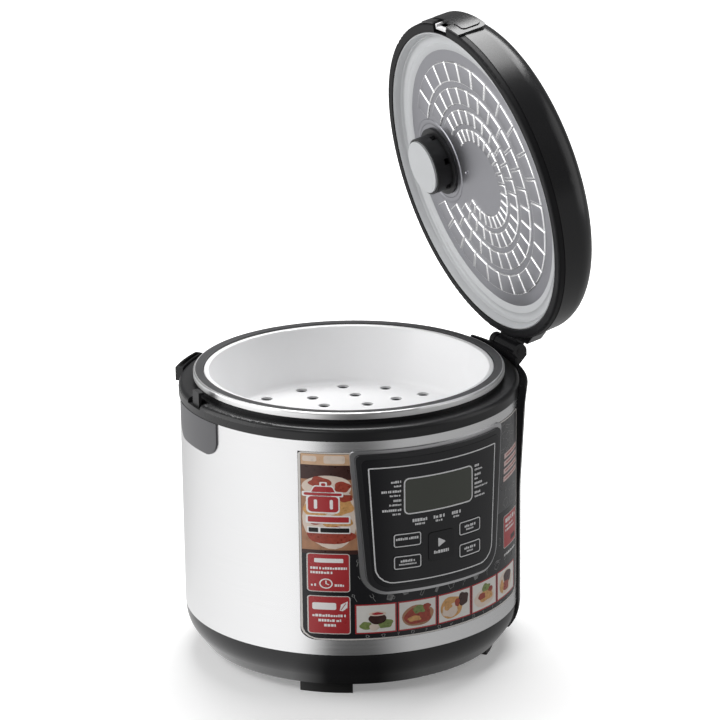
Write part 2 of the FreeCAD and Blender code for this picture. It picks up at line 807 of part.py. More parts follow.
side_keys = [
    (f"key_{row}_{side}",
     (sign * s.side_key_offset, s.side_key_half, panel_top - drop, s.side_key_height, 1.5, 0))
    for side, sign in (("left", as_size(-1)), ("right", as_size(1)))
    for row, drop in (("upper", s.upper_key_drop), ("lower", s.lower_key_drop))
]
# each key's middle, half width, bottom, height, corner radius and how far it stands above the film
keys = {
    "key_start": (0, s.start_key_half, panel_top - s.start_key_drop, s.start_key_height, 3, 0.6),
    **dict(side_keys),
}
board_front = wrap_inner - 9.6
switch_top = board_front + 4.2


def control_panel():
    outer = tube("panel_ring", steel_radius + 0.1, panel_face, panel_bottom - 5, panel_top + 5)
    hollow = common("panel_hollow", cylinder("panel_hollow_bar", panel_face - s.panel_front, 0, 240),
                    panel_outline("panel_hollow_outline", as_size(-3)))
    openings = [hollow, rounded_window("window_hole", 0, s.window_half, window_bottom, s.window_height, 2)]
    for name, (middle, half, bottom, height, corner, _) in keys.items():
        openings.append(rounded_window(name + "_hole", middle, half, bottom, height, corner + 0.3, 0.3))
    shape = common("panel_block", outer, panel_outline("panel_outer_outline", as_size(0)))
    panel_piece("panel_housing", cut("panel_housing", shape, *openings))

    ring = tube("trim_ring", steel_radius + 0.1, steel_radius + 1.4, panel_bottom - 10, panel_top + 10)
    outside, inside = panel_outline("trim_outer", s.trim_width), panel_outline("trim_inner", as_size(0.1))
    band = cut("trim_band", outside, inside)
    panel_piece("panel_trim", common("panel_trim", ring, band))

    film = tube("overlay_ring", panel_face + 0.01, overlay_face, panel_bottom - 5, panel_top + 5)
    film_holes = [
        rounded_window(name + "_film_hole", middle, half, bottom, height, corner + 0.3, 0.3)
        for name, (middle, half, bottom, height, corner, _) in keys.items()
    ]
    film_holes.append(rounded_window("film_window", 0, s.window_half, window_bottom, s.window_height, 2))
    sheet_shape = common("overlay_sheet", film, panel_outline("overlay_outline", -s.overlay_inset))
    panel_piece("panel_overlay", cut("panel_overlay", sheet_shape, *film_holes))

    lens = tube("lens_ring", panel_face - 1.4, overlay_face - 0.1, window_bottom - 5, window_top + 5)
    panel_piece("display_window", common("display_window", lens, rounded_window(
        "lens_outline", 0, s.window_half, window_bottom, s.window_height, 1.8, -0.15)))
    panel_piece("display_module", block("display_module", (-s.window_half + 1.5, s.window_half - 1.5),
                (-board_front - 8.4, -board_front - 0.02), (window_bottom + 1.5, window_top - 1.5)))
    panel_piece("control_board", block("control_board", (-49, 49),
                (-board_front, -board_front + s.board_thickness), (panel_bottom + 12, panel_top - 14)))

    switches = []
    for name, (middle, half, bottom, height, corner, rise) in keys.items():
        centre = as_size(bottom) + as_size(height) / 2
        switches.append(block(name + "_switch", (as_size(middle) - 3, as_size(middle) + 3),
                              (-switch_top, -board_front - 0.02), (centre - 3, centre + 3)))
        cap_ring = tube(name + "_ring", panel_face - 4.6, overlay_face + rise, panel_bottom, panel_top)
        outline = rounded_window(name + "_outline", middle, half, bottom, height, corner)
        cap = common(name + "_cap", cap_ring, outline)
        stem = cylinder(name + "_stem", 2, -panel_face + 1 if name == "key_start" else -switch_top - 4,
                        -switch_top - s.key_travel - 0.1, (middle, centre), "y")
        panel_piece(name, fused(name, cap, stem))
    panel_piece("key_switches", group("key_switches", *switches), len(switches))


def wrap_label():
    """A printed film on the steel, round the panel."""
    inner = steel_radius + 0.03
    film = tube("label_ring", inner, inner + s.label_film, label_bottom, label_top)
    outline = raised_outline("label_outline", [
        (-s.label_half, label_bottom, 9),
        (s.label_half, label_bottom, 9),
        (s.label_half, label_top),
        (-s.label_half, label_top),
    ], 200)
    sheet_shape = common("label_sheet", film, outline)
    panel_piece("wrap_label", cut("wrap_label", sheet_shape, panel_outline("label_hole", s.trim_width + 0.3)))


# ---------------------------------------------------------------- lid, drawn shut and swung open


def lid_piece(label, thing, solids=1):
    """Swings a piece drawn with the lid shut to the open lid, about the hinge pin."""
    thing = keep(label, carried(thing), solids)
    thing.Placement = FreeCAD.Placement(FreeCAD.Vector(), FreeCAD.Rotation(Y_AXIS, s.lid_open_angle.number))
    swing_x = hinge_reach * cos(s.lid_open_angle) + hinge_height * sin(s.lid_open_angle)
    swing_z = hinge_height * cos(s.lid_open_angle) - hinge_reach * sin(s.lid_open_angle)
    return bind(thing, Placement__Rotation__Angle=s.lid_open_angle,
                Placement__Base__x=hinge_reach - swing_x, Placement__Base__z=hinge_height - swing_z)


cover_low = lid_face + s.rim_ring_height
well_floor = lid_top - s.vent_depth


def lid_cover():
    wall = s.lid_wall
    crown = turned_profile("cover_crown", [
        (lid_radius, cover_low + 0.1),
        (lid_radius - 1, lid_top - 14, 18),
        (lid_radius - 42, lid_top - 4.5, 90),
        (0, lid_top),
        (0, lid_top - wall),
        (lid_radius - 42, lid_top - 4.5 - wall, 90),
        (lid_radius - 1 - wall, lid_top - 14 - wall, 15.5),
        (lid_radius - wall, cover_low + 0.1),
    ])
    hood_low, hood_high, hood_half = lid_face + 0.6, latch_bottom + s.latch_height + 3.4, s.latch_half + 5
    hood = common("latch_hood",
                  tube("hood_ring", lid_radius - 2, lid_radius + s.hood_rise, hood_low, hood_high),
                  turned(raised_outline("hood_outline", [
                      (-hood_half, hood_low),
                      (hood_half, hood_low),
                      (hood_half, hood_high, 6),
                      (-hood_half, hood_high, 6),
                  ], 200), -90))
    here = (0, valve_offset)
    well = tube("vent_well", s.vent_radius + 0.5, s.vent_radius + 2.5, well_floor, lid_top - 4, here)
    well_base = tube("vent_well_floor", 8, s.vent_radius + 2.4, well_floor, well_floor + 2, here)
    mouth = cylinder("vent_mouth", s.vent_radius + 0.5, well_floor + 2, lid_top + 5, here)
    outline = rounded_window("button_pocket", 0, s.latch_half, latch_bottom, s.latch_height, 4, 0.4)
    pocket = turned(outline, -90)
    passage = block("bar_passage", (-lid_radius - 1.5, -rim_opening - 1.5), (-11.4, 11.4),
                    (lid_face - 1, latch_bottom + 2))
    frame_room = tube("frame_room", rim_opening - 5, lid_radius - 0.2, lid_face - 1, cover_low + 0.1)
    joined = fused("cover_joined", cut("crown_with_mouth", crown, mouth), cut("hood_clear", hood, frame_room),
                   well, well_base)
    lid_piece("lid_cover", cut("lid_cover", joined, pocket, passage))


def catch_window(name):
    """The hole through which the catch reaches the latch bar."""
    return block(name, (-lid_radius - 2, -rim_opening - 0.6), (-11, 11), (lid_face - 1, cover_low + 4))


def lid_frame():
    """The black ring on the lid's inner side."""
    ring = turned_profile("frame_turned", [
        (rim_opening, lid_face, 0.8),
        (lid_radius - 0.4, lid_face, 2),
        (lid_radius - 0.4, cover_low - 0.05),
        (rim_opening, cover_low - 0.05),
    ])
    lid_piece("lid_frame", cut("lid_frame", ring, catch_window("frame_catch_window")))


def lid_liner():
    """The shallow pan inside the lid that carries the gasket and the inner plate."""
    wall_out = rim_opening + 2.6
    ceiling = lid_plate + 4.4
    pan = turned_profile("liner_turned", [
        (rim_opening, cover_low),
        (wall_out, cover_low),
        (wall_out, ceiling + 2),
        (0, ceiling + 2),
        (0, ceiling),
        (inner_plate_radius + 2, ceiling),
        (inner_plate_radius + 2, lid_plate + 2.7),
        (rim_opening, lid_plate + 2.7),
    ])
    duct_hole = cylinder("liner_duct_hole", s.duct_radius + 2.7, ceiling - 1, ceiling + 3, (0, valve_offset))
    lid_piece("lid_liner", cut("lid_liner", pan, duct_hole, catch_window("liner_catch_window")))


def lid_gasket():
    """A ring that presses on the bowl's rim."""
    lid_piece("lid_gasket", tube("lid_gasket", inner_plate_radius + 0.1, rim_opening - 0.05,
                                 lid_plate, lid_plate + 2.6))


def inner_plate():
    disc = cylinder("plate_disc", inner_plate_radius, lid_plate, lid_plate + s.inner_plate_sheet)
    hole = cylinder("plate_valve_hole", s.duct_radius + 2.7, lid_plate - 1, lid_plate + 3, (0, valve_offset))
    lid_piece("inner_lid_plate", cut("inner_lid_plate", disc, hole))
    stud_low, stud_high = lid_plate + s.inner_plate_sheet, lid_plate + 4.4
    ring = inner_plate_radius - s.stud_inset
    studs = [
        cylinder(f"plate_stud_{i}", 4, stud_low, stud_high, ring_place(ring, azimuth))
        for i, azimuth in enumerate((0, 90, 270))
    ]
    lid_piece("plate_studs", group("plate_studs", *studs), 3)


def steam_valve():
    here = (0, valve_offset)
    face = lid_plate - s.valve_height
    flange_low = lid_plate - 2.2
    neck = tube("socket_neck", s.duct_radius + 0.2, s.duct_radius + 2.5, lid_plate - 1, lid_plate + 9, here)
    flange = tube("socket_flange", s.duct_radius + 0.2, s.valve_flange, flange_low, lid_plate - 0.02, here)
    lid_piece("valve_socket", fused("valve_socket", neck, flange))
    lid_piece("valve_seal", tube("valve_seal", s.duct_radius + 2.9, s.duct_radius + 6,
                                 lid_plate + s.inner_plate_sheet + 0.02, lid_plate + 4.3, here))
    duct = tube("steam_duct", s.duct_radius - 1.6, s.duct_radius, lid_plate + 1, well_floor, here)
    lid_piece("steam_duct", duct)
    cup = tube("cup_wall", s.valve_radius - 2, s.valve_radius, face + 1.8, flange_low - 0.2, here)
    floor = cylinder("cup_floor", s.valve_radius - 1, face + 1.8, face + 4, here)
    stem = tube("cup_stem", s.duct_radius - 3.6, s.duct_radius - 2, face + 3, lid_plate + 6, here)
    slots = []
    for i in range(6):
        x = s.valve_radius * cos(60 * i + 15)
        y = s.valve_radius * sin(60 * i + 15) + valve_offset
        slots.append(cylinder(f"cup_slot_{i}", 3, flange_low - 5, flange_low + 0.5, (x, y)))
    lid_piece("valve_cup", cut("valve_cup", fused("cup_joined", cup, floor, stem), *slots))
    lid_piece("valve_face", cylinder("valve_face", s.valve_radius - 2, face, face + 1.78, here))


def vent_cap():
    """The lift-out cap over the steam outlet, in its well in the lid."""
    here = (0, valve_offset)
    top = lid_top - 1.2
    body = cylinder("vent_body", s.vent_radius, well_floor + 2.3, top, here)
    hollow = cylinder("vent_hollow", s.vent_radius - 2, well_floor + 1, top - 3, here)
    slots = [
        block(f"vent_opening_{i}", (-7, 7), (valve_offset + y - 1.2, valve_offset + y + 1.2),
              (top - 4, top + 1))
        for i, y in enumerate((-6, 0, 6))
    ]
    lid_piece("vent_cap", cut("vent_cap", body, hollow, *slots))


def latch():
    """Press button on the lid's edge, with the bar that hooks under the catch and its spring."""
    inner, outer = lid_radius - 1.6, lid_radius + s.button_rise
    block_ring = tube("button_ring", inner, outer, latch_bottom - 1, latch_bottom + s.latch_height + 1)
    outline = rounded_window("button_outline", 0, s.latch_half, latch_bottom, s.latch_height, 3.6)
    lid_piece("latch_button", common("latch_button", block_ring, turned(outline, -90)))
    bar_low, bar_high = lid_face + 2, catch_top - 2.3
    bar_in, bar_out = catch_back + 3.4, catch_back + 1
    cross = block("bar_cross", (bar_out, bar_in), (-10, 10), (bar_low, bar_high))
    arms = [
        block(f"bar_arm_{i}", (-lid_radius + 0.8, bar_in), span, (bar_low, bar_high))
        for i, span in enumerate(((-10, -7.5), (7.5, 10)))
    ]
    risers = [
        block(f"bar_riser_{i}", (-lid_radius + 0.8, -lid_radius + 2.4), span, (bar_low, latch_bottom))
        for i, span in enumerate(((-10, -7.5), (7.5, 10)))
    ]
    lid_piece("latch_bar", fused("latch_bar", cross, *arms, *risers))
    middle = latch_bottom + s.latch_height - 4
    lid_piece("latch_spring", tube("latch_spring", 1.8, 2.6, -lid_radius + 2.2, -rim_opening - 2.7,
                                   (0, middle), "x"))


def hinge():
    """Pin, bushes and spring of the hinge, and the arm that carries the lid."""
    spring_half = 9
    here = (hinge_reach, hinge_height)
    start = s.barrel_half + s.fit_gap
    end = start + s.knuckle_width
    keep("hinge_pin", cylinder("hinge_pin", s.pin_radius, -end - 0.5, end + 0.5, here, "y"))
    bushes = [
        tube(f"hinge_bush_{i}", s.pin_radius + 0.02, s.pin_radius + 1.48, low, high, here, "y")
        for i, (low, high) in enumerate(((-end, -start), (start, end)))
    ]
    keep("hinge_bushes", group("hinge_bushes", *bushes), 2)
    keep("hinge_spring", tube("hinge_spring", s.pin_radius + 0.5, s.pin_radius + 1.7, -spring_half + 0.5,
                              spring_half - 0.5, here, "y"))

    root_x = lid_radius - 7
    neck_half = s.barrel_half - s.fit_gap
    waist_x = hinge_reach - s.barrel_radius - s.knuckle_rim - 2.5
    tip_x = hinge_reach + s.barrel_radius
    low, high = cover_low + 0.5, cover_low + 0.5 + s.arm_height
    side = raised_outline("arm_side", [
        (root_x, low),
        (root_x, high),
        (lid_radius + 4, high, 6),
        (tip_x - 0.1, hinge_height + 0.8),
        (hinge_reach, hinge_height),
        (hinge_reach - 8, low),
    ], s.arm_half * 2 + 4, both=True)
    plan = raised_outline("arm_plan", [
        (root_x, -s.arm_half),
        (waist_x, -s.arm_waist, 4),
        (waist_x, -neck_half),
        (tip_x + 2, -neck_half),
        (tip_x + 2, neck_half),
        (waist_x, neck_half),
        (waist_x, s.arm_waist, 4),
        (root_x, s.arm_half),
    ], high - low + 20, "XY_Plane")
    bind(plan, Placement__Base__z=low - 10)
    outside = tube("arm_clear", lid_radius + 0.02, tip_x + 40, low - 20, high + 20)
    barrel = cylinder("arm_barrel", s.barrel_radius, -neck_half, neck_half, here, "y")
    bore = cylinder("arm_bore", s.pin_radius + 0.06, -neck_half - 1, neck_half + 1, here, "y")
    room = cylinder("spring_room", s.pin_radius + 2, -spring_half, spring_half, here, "y")
    slab = common("arm_slab", common("arm_block", side, plan), outside)
    lid_piece("hinge_arm", cut("hinge_arm", fused("arm_joined", slab, barrel), bore, room))


base_shell()
rubber_feet()
base_screws()
steel_wrap()
top_collar()
lid_catch()
latch_ear()
ladle_holder()
rear_column()
inlet()
inner_bowl()
steamer_basket()
heat_shield()
heating_plate()
bowl_sensor()
electronics()
control_panel()
wrap_label()
lid_cover()
lid_frame()
lid_liner()
lid_gasket()
inner_plate()
steam_valve()
vent_cap()
latch()
hinge()
doc.recompute()

for thing in doc.Objects:
    if "Invalid" in thing.State or "Error" in thing.State:
        raise RuntimeError(f"{thing.Name} did not build: {thing.State}")
for label, (thing, solids) in nodes.items():
    shape = thing.Shape
    if shape.isNull() or not shape.isValid():
        raise RuntimeError(f"{label} has no valid shape")
    if len(shape.Solids) != solids:
        raise RuntimeError(f"{label} has {len(shape.Solids)} solids, not {solids}")

os.makedirs("parts", exist_ok=True)
for label, (thing, solids) in nodes.items():
    thing.Shape.exportStep(f"parts/{label}.step")
print(f"{len(nodes)} nodes written")
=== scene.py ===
import json
import math
import random

import bmesh
import bpy
from mathutils import Matrix, Vector


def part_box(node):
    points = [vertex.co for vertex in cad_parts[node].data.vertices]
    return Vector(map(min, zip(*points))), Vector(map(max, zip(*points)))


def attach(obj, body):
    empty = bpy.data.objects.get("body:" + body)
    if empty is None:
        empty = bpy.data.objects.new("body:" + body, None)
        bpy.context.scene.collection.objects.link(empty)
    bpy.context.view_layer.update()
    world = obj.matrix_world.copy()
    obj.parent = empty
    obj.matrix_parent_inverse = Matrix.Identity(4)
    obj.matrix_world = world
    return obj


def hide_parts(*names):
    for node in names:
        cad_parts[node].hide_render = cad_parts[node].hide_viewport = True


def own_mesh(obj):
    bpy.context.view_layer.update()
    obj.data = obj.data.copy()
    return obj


# Round multicooker with its lid open. Lengths in mm are turned into metres by mm.

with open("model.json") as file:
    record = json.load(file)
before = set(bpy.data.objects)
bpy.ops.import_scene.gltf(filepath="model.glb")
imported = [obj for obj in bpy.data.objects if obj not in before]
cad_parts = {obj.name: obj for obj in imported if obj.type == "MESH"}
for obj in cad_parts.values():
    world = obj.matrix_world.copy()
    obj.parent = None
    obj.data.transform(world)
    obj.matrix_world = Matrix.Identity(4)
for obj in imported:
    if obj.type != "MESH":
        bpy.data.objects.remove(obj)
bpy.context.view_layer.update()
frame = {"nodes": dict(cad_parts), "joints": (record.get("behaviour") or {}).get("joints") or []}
cad = frame["nodes"]
mm = 0.001
print("frame loaded:", len(cad), "nodes")

# places worked out from the frame

hingeJoint = next(joint for joint in frame["joints"] if joint["name"] == "lid_hinge")
hingePoint = Vector(hingeJoint["pos_m"])
openAngle = -math.radians(hingeJoint["range_deg"][0])
keyJoint = next(joint for joint in frame["joints"] if joint["name"] == "start_key_press")
panelBearing = math.atan2(-keyJoint["axis"][0], keyJoint["axis"][1])
valveJoint = next(joint for joint in frame["joints"] if joint["name"] == "valve_twist")

lidSwing = (Matrix.Translation(hingePoint) @ Matrix.Rotation(openAngle, 4, "Y")
            @ Matrix.Translation(-hingePoint))
valveOffset = valveJoint["pos_m"][1]
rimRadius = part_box("inner_bowl")[1].y
plateHeight = (lidSwing.inverted() @ Vector(valveJoint["pos_m"])).z
print("hinge at", tuple(round(v, 4) for v in hingePoint), "lid plate height", round(plateHeight, 4))


# camera, floor and lights

viewSet = {"bearing": 26.4, "distance": 2.60199, "height": 1.06402, "pitch": 17.396, "yaw": 0.206,
           "roll": -0.701, "lens": 163.39}


def makeCamera():
    camera = bpy.data.objects.new("camera", bpy.data.cameras.new("camera"))
    bpy.context.scene.collection.objects.link(camera)
    camera.data.lens = viewSet["lens"]
    camera.data.sensor_width = 36
    turn = math.radians(viewSet["bearing"])
    place = Vector((-math.sin(turn), -math.cos(turn), 0)) * viewSet["distance"]
    place.z = viewSet["height"]
    camera.matrix_world = (
        Matrix.Translation(place)
        @ Matrix.Rotation(-math.radians(viewSet["bearing"] + viewSet["yaw"]), 4, "Z")
        @ Matrix.Rotation(math.radians(90 - viewSet["pitch"]), 4, "X")
        @ Matrix.Rotation(math.radians(viewSet["roll"]), 4, "Z")
    )
    bpy.context.scene.camera = camera


# bearing is measured round the object from the viewer's side; each card looks at a point on the object
lightSet = {
    "leftCard": {"bearing": -82, "distance": 1.5, "height": 0.75, "size": (1.7, 1.7), "power": 20},
    "rightCard": {"bearing": 88, "distance": 1.6, "height": 0.8, "size": (1.2, 1.6), "power": 6},
    "topCard": {"bearing": 165, "distance": 0.9, "height": 1.9, "size": (1.6, 1.2), "power": 44},
    "frontCard": {"bearing": -30, "distance": 2.2, "height": 2.2, "size": (0.8, 0.8), "power": 13},
}
worldSet = {"colour": (1.0, 1.0, 1.0), "strength": 0.16}
# what shines back from the floor by bearing: white boards left, a black one in front, grey to the right
floorSet = {"size": 60.0, "colour": 0.93, "roughness": 0.75, "glow": 0.22, "farGlow": 1.0,
            "fade": (0.45, 1.5), "dull": 0.04, "boards": 1.12,
            "ramp": ((0.0, 0.3), (0.2, 0.8), (0.43, 1.0), (0.47, 0.03), (0.53, 0.03), (0.58, 0.4),
                     (0.8, 0.26), (1.0, 0.3))}


def makeLights():
    for name, s in lightSet.items():
        data = bpy.data.lights.new(name, "AREA")
        data.shape = "RECTANGLE"
        data.size, data.size_y = s["size"]
        data.energy = s["power"]
        light = bpy.data.objects.new(name, data)
        bpy.context.scene.collection.objects.link(light)
        turn = math.radians(s["bearing"] - viewSet["bearing"])
        place = Vector((math.sin(turn), -math.cos(turn), 0)) * s["distance"]
        place.z = s["height"]
        light.location = place
        light.rotation_euler = (Vector((0, 0, 0.2)) - place).to_track_quat("-Z", "Y").to_euler()
    world = bpy.data.worlds.new("studio")
    world.use_nodes = True
    world.node_tree.nodes["Background"].inputs[0].default_value = (*worldSet["colour"], 1)
    world.node_tree.nodes["Background"].inputs[1].default_value = worldSet["strength"]
    bpy.context.scene.world = world
    bpy.context.scene.view_settings.view_transform = "Standard"


# shader groups: each puts out masks and heights only


def newGroup(name, inputs, outputs):
    group = bpy.data.node_groups.new(name, "ShaderNodeTree")
    for label, value in inputs.items():
        socket = group.interface.new_socket(label, in_out="INPUT", socket_type="NodeSocketFloat")
        socket.default_value = value
    for label in outputs:
        group.interface.new_socket(label, in_out="OUTPUT", socket_type="NodeSocketFloat")
    return group, group.nodes.new("NodeGroupInput"), group.nodes.new("NodeGroupOutput")


def add(tree, kind, **settings):
    node = tree.nodes.new(kind)
    for name, value in settings.items():
        setattr(node, name, value)
    return node


def makeGroups():
    # fine texture of moulded plastic, with slow patches for the roughness
    group, inside, outside = newGroup("mouldedGrain", {"Scale": 2600.0, "Patch": 18.0}, ("Height", "Patches"))
    where = add(group, "ShaderNodeTexCoord")
    grain = add(group, "ShaderNodeTexNoise")
    grain.inputs["Detail"].default_value = 3
    patch = add(group, "ShaderNodeTexNoise")
    patch.inputs["Detail"].default_value = 4
    group.links.new(where.outputs["Object"], grain.inputs["Vector"])
    group.links.new(where.outputs["Object"], patch.inputs["Vector"])
    group.links.new(inside.outputs["Scale"], grain.inputs["Scale"])
    group.links.new(inside.outputs["Patch"], patch.inputs["Scale"])
    group.links.new(grain.outputs["Fac"], outside.inputs["Height"])
    group.links.new(patch.outputs["Fac"], outside.inputs["Patches"])

    # fine lines round an upright axis, as a brush leaves on sheet metal
    group, inside, outside = newGroup("brushedLines", {"Across": 4200.0, "Along": 14.0},
                                      ("Height", "Streaks"))
    where = add(group, "ShaderNodeTexCoord")
    split = add(group, "ShaderNodeSeparateXYZ")
    angle = add(group, "ShaderNodeMath", operation="ARCTAN2")
    group.links.new(where.outputs["Object"], split.inputs[0])
    group.links.new(split.outputs["X"], angle.inputs[0])
    group.links.new(split.outputs["Y"], angle.inputs[1])
    along = add(group, "ShaderNodeMath", operation="MULTIPLY")
    group.links.new(angle.outputs[0], along.inputs[0])
    group.links.new(inside.outputs["Along"], along.inputs[1])
    across = add(group, "ShaderNodeMath", operation="MULTIPLY")
    group.links.new(split.outputs["Z"], across.inputs[0])
    group.links.new(inside.outputs["Across"], across.inputs[1])
    joined = add(group, "ShaderNodeCombineXYZ")
    group.links.new(along.outputs[0], joined.inputs["X"])
    group.links.new(across.outputs[0], joined.inputs["Y"])
    lines = add(group, "ShaderNodeTexNoise")
    lines.inputs["Scale"].default_value = 1
    lines.inputs["Detail"].default_value = 3
    group.links.new(joined.outputs[0], lines.inputs["Vector"])
    group.links.new(lines.outputs["Fac"], outside.inputs["Height"])
    coarse = add(group, "ShaderNodeTexNoise")
    coarse.inputs["Scale"].default_value = 0.11
    group.links.new(joined.outputs[0], coarse.inputs["Vector"])
    group.links.new(coarse.outputs["Fac"], outside.inputs["Streaks"])


def surface(name, colour, roughness, metallic=0.0, spread=0.08, bump=0.0, grain=2600.0, patch=18.0,
            colourSpread=0.06, lines=False, sheen=0.5, **shader):
    made = bpy.data.materials.new(name)
    made.use_nodes = True
    tree = made.node_tree
    shade = tree.nodes["Principled BSDF"]
    shade.inputs["Metallic"].default_value = metallic
    shade.inputs["Specular IOR Level"].default_value = sheen
    for label, value in shader.items():
        shade.inputs[label].default_value = value
    pattern = "brushedLines" if lines else "mouldedGrain"
    effect = add(tree, "ShaderNodeGroup", node_tree=bpy.data.node_groups[pattern])
    if not lines:
        effect.inputs["Scale"].default_value = grain
        effect.inputs["Patch"].default_value = patch
    slow = effect.outputs["Streaks" if lines else "Patches"]
    rough = add(tree, "ShaderNodeMapRange")
    rough.inputs["From Min"].default_value = 0.3
    rough.inputs["From Max"].default_value = 0.7
    rough.inputs["To Min"].default_value = max(0.02, roughness - spread / 2)
    rough.inputs["To Max"].default_value = roughness + spread / 2
    tree.links.new(slow, rough.inputs["Value"])
    tree.links.new(rough.outputs[0], shade.inputs["Roughness"])
    tint = add(tree, "ShaderNodeMix", data_type="RGBA")
    tint.inputs["A"].default_value = (*[c * (1 - colourSpread) for c in colour], 1)
    tint.inputs["B"].default_value = (*[min(1, c * (1 + colourSpread)) for c in colour], 1)
    tree.links.new(slow, tint.inputs["Factor"])
    tree.links.new(tint.outputs["Result"], shade.inputs["Base Color"])
    if bump:
        relief = add(tree, "ShaderNodeBump")
        relief.inputs["Strength"].default_value = 1
        relief.inputs["Distance"].default_value = bump * mm
        tree.links.new(effect.outputs["Height"], relief.inputs["Height"])
        tree.links.new(relief.outputs[0], shade.inputs["Normal"])
    return made


makeCamera()
makeLights()
makeGroups()
print("camera, lights and shader groups made")

# finishes

finishes = {
    "blackGloss": dict(colour=(0.011, 0.011, 0.012), roughness=0.24, bump=0.004, spread=0.06, sheen=0.4),
    "blackSatin": dict(colour=(0.014, 0.014, 0.015), roughness=0.42, bump=0.02, sheen=0.35),
    "collarBlack": dict(colour=(0.016, 0.016, 0.017), roughness=0.3, bump=0.006, sheen=0.35),
    "frameBlack": dict(colour=(0.009, 0.009, 0.01), roughness=0.5, bump=0.01, sheen=0.16),
    "tongueGrey": dict(colour=(0.085, 0.085, 0.09), roughness=0.34, bump=0.006, sheen=0.35),
    "brushedSteel": dict(colour=(0.76, 0.76, 0.765), roughness=0.24, metallic=1.0, bump=0.003, lines=True,
                         spread=0.05, colourSpread=0.03, Anisotropic=0.65),
    "millSteel": dict(colour=(0.5, 0.5, 0.5), roughness=0.36, metallic=1.0, bump=0.004),
    "basketWhite": dict(colour=(0.92, 0.92, 0.925), roughness=0.33, bump=0.004, colourSpread=0.01),
    "castAluminium": dict(colour=(0.6, 0.6, 0.61), roughness=0.42, metallic=1.0, bump=0.02, grain=1400.0),
    "lidAluminium": dict(colour=(0.35, 0.35, 0.375), roughness=0.34, metallic=1.0, bump=0.003,
                         colourSpread=0.03),
    "silicone": dict(colour=(0.52, 0.53, 0.54), roughness=0.42, bump=0.004, colourSpread=0.02),
    "valveGrey": dict(colour=(0.5, 0.51, 0.52), roughness=0.38, bump=0.03, grain=1800.0),
    "trimSilver": dict(colour=(0.5, 0.5, 0.51), roughness=0.32, metallic=1.0, bump=0.002),
    "panelCharcoal": dict(colour=(0.02, 0.02, 0.022), roughness=0.3, bump=0.006, sheen=0.4),
    "panelFilm": dict(colour=(0.012, 0.012, 0.014), roughness=0.22, bump=0.002, sheen=0.4),
    "displayLens": dict(colour=(0.05, 0.055, 0.043), roughness=0.16, bump=0.0, colourSpread=0.05),
    "keyPlastic": dict(colour=(0.013, 0.013, 0.015), roughness=0.33, bump=0.006, sheen=0.35),
    "footRubber": dict(colour=(0.01, 0.01, 0.01), roughness=0.7, bump=0.05, grain=1200.0),
    "circuitBoard": dict(colour=(0.02, 0.12, 0.05), roughness=0.4, bump=0.03, grain=700.0),
    "component": dict(colour=(0.02, 0.02, 0.02), roughness=0.5, bump=0.02),
    "fastener": dict(colour=(0.58, 0.58, 0.6), roughness=0.28, metallic=1.0, bump=0.004),
    "spring": dict(colour=(0.5, 0.5, 0.52), roughness=0.22, metallic=1.0, bump=0.002),
    "brass": dict(colour=(0.72, 0.55, 0.25), roughness=0.3, metallic=1.0, bump=0.004),
    "inkWhite": dict(colour=(0.78, 0.78, 0.79), roughness=0.4),
    # painted highlight: the cell sides are made near-white metal so every cell edge shows as a bright line
    "paintedEdgeHighlight": dict(colour=(0.95, 0.95, 0.95), roughness=0.28, metallic=1.0, colourSpread=0.02),
    "labelRed": dict(colour=(0.42, 0.028, 0.034), roughness=0.3, patch=60.0),
    "labelWhite": dict(colour=(0.86, 0.85, 0.84), roughness=0.34),
    "borderInk": dict(colour=(0.66, 0.63, 0.6), roughness=0.34),
    "inkBlack": dict(colour=(0.012, 0.011, 0.011), roughness=0.3, sheen=0.35),
    "inkGrey": dict(colour=(0.055, 0.055, 0.058), roughness=0.3, patch=90.0, colourSpread=0.3),
    "inkPink": dict(colour=(0.72, 0.52, 0.5), roughness=0.34, patch=120.0, colourSpread=0.12),
    "lineInk": dict(colour=(0.2, 0.2, 0.2), roughness=0.34),
    "tileGround": dict(colour=(0.78, 0.76, 0.72), roughness=0.32, patch=150.0, colourSpread=0.08),
    "beige": dict(colour=(0.66, 0.43, 0.27), roughness=0.3, patch=130.0, colourSpread=0.22),
    "cream": dict(colour=(0.74, 0.62, 0.53), roughness=0.3, patch=160.0, colourSpread=0.16),
    "tan": dict(colour=(0.4, 0.2, 0.11), roughness=0.3, patch=150.0, colourSpread=0.4),
    "golden": dict(colour=(0.62, 0.33, 0.12), roughness=0.3, patch=420.0, colourSpread=0.45),
    "foodRed": dict(colour=(0.33, 0.05, 0.028), roughness=0.3, patch=380.0, colourSpread=0.6),
    "foodDark": dict(colour=(0.045, 0.014, 0.011), roughness=0.3, patch=240.0, colourSpread=0.5),
    "foodGreen": dict(colour=(0.2, 0.26, 0.08), roughness=0.3, patch=420.0, colourSpread=0.55),
}
paint = {name: surface(name, **values) for name, values in finishes.items()}

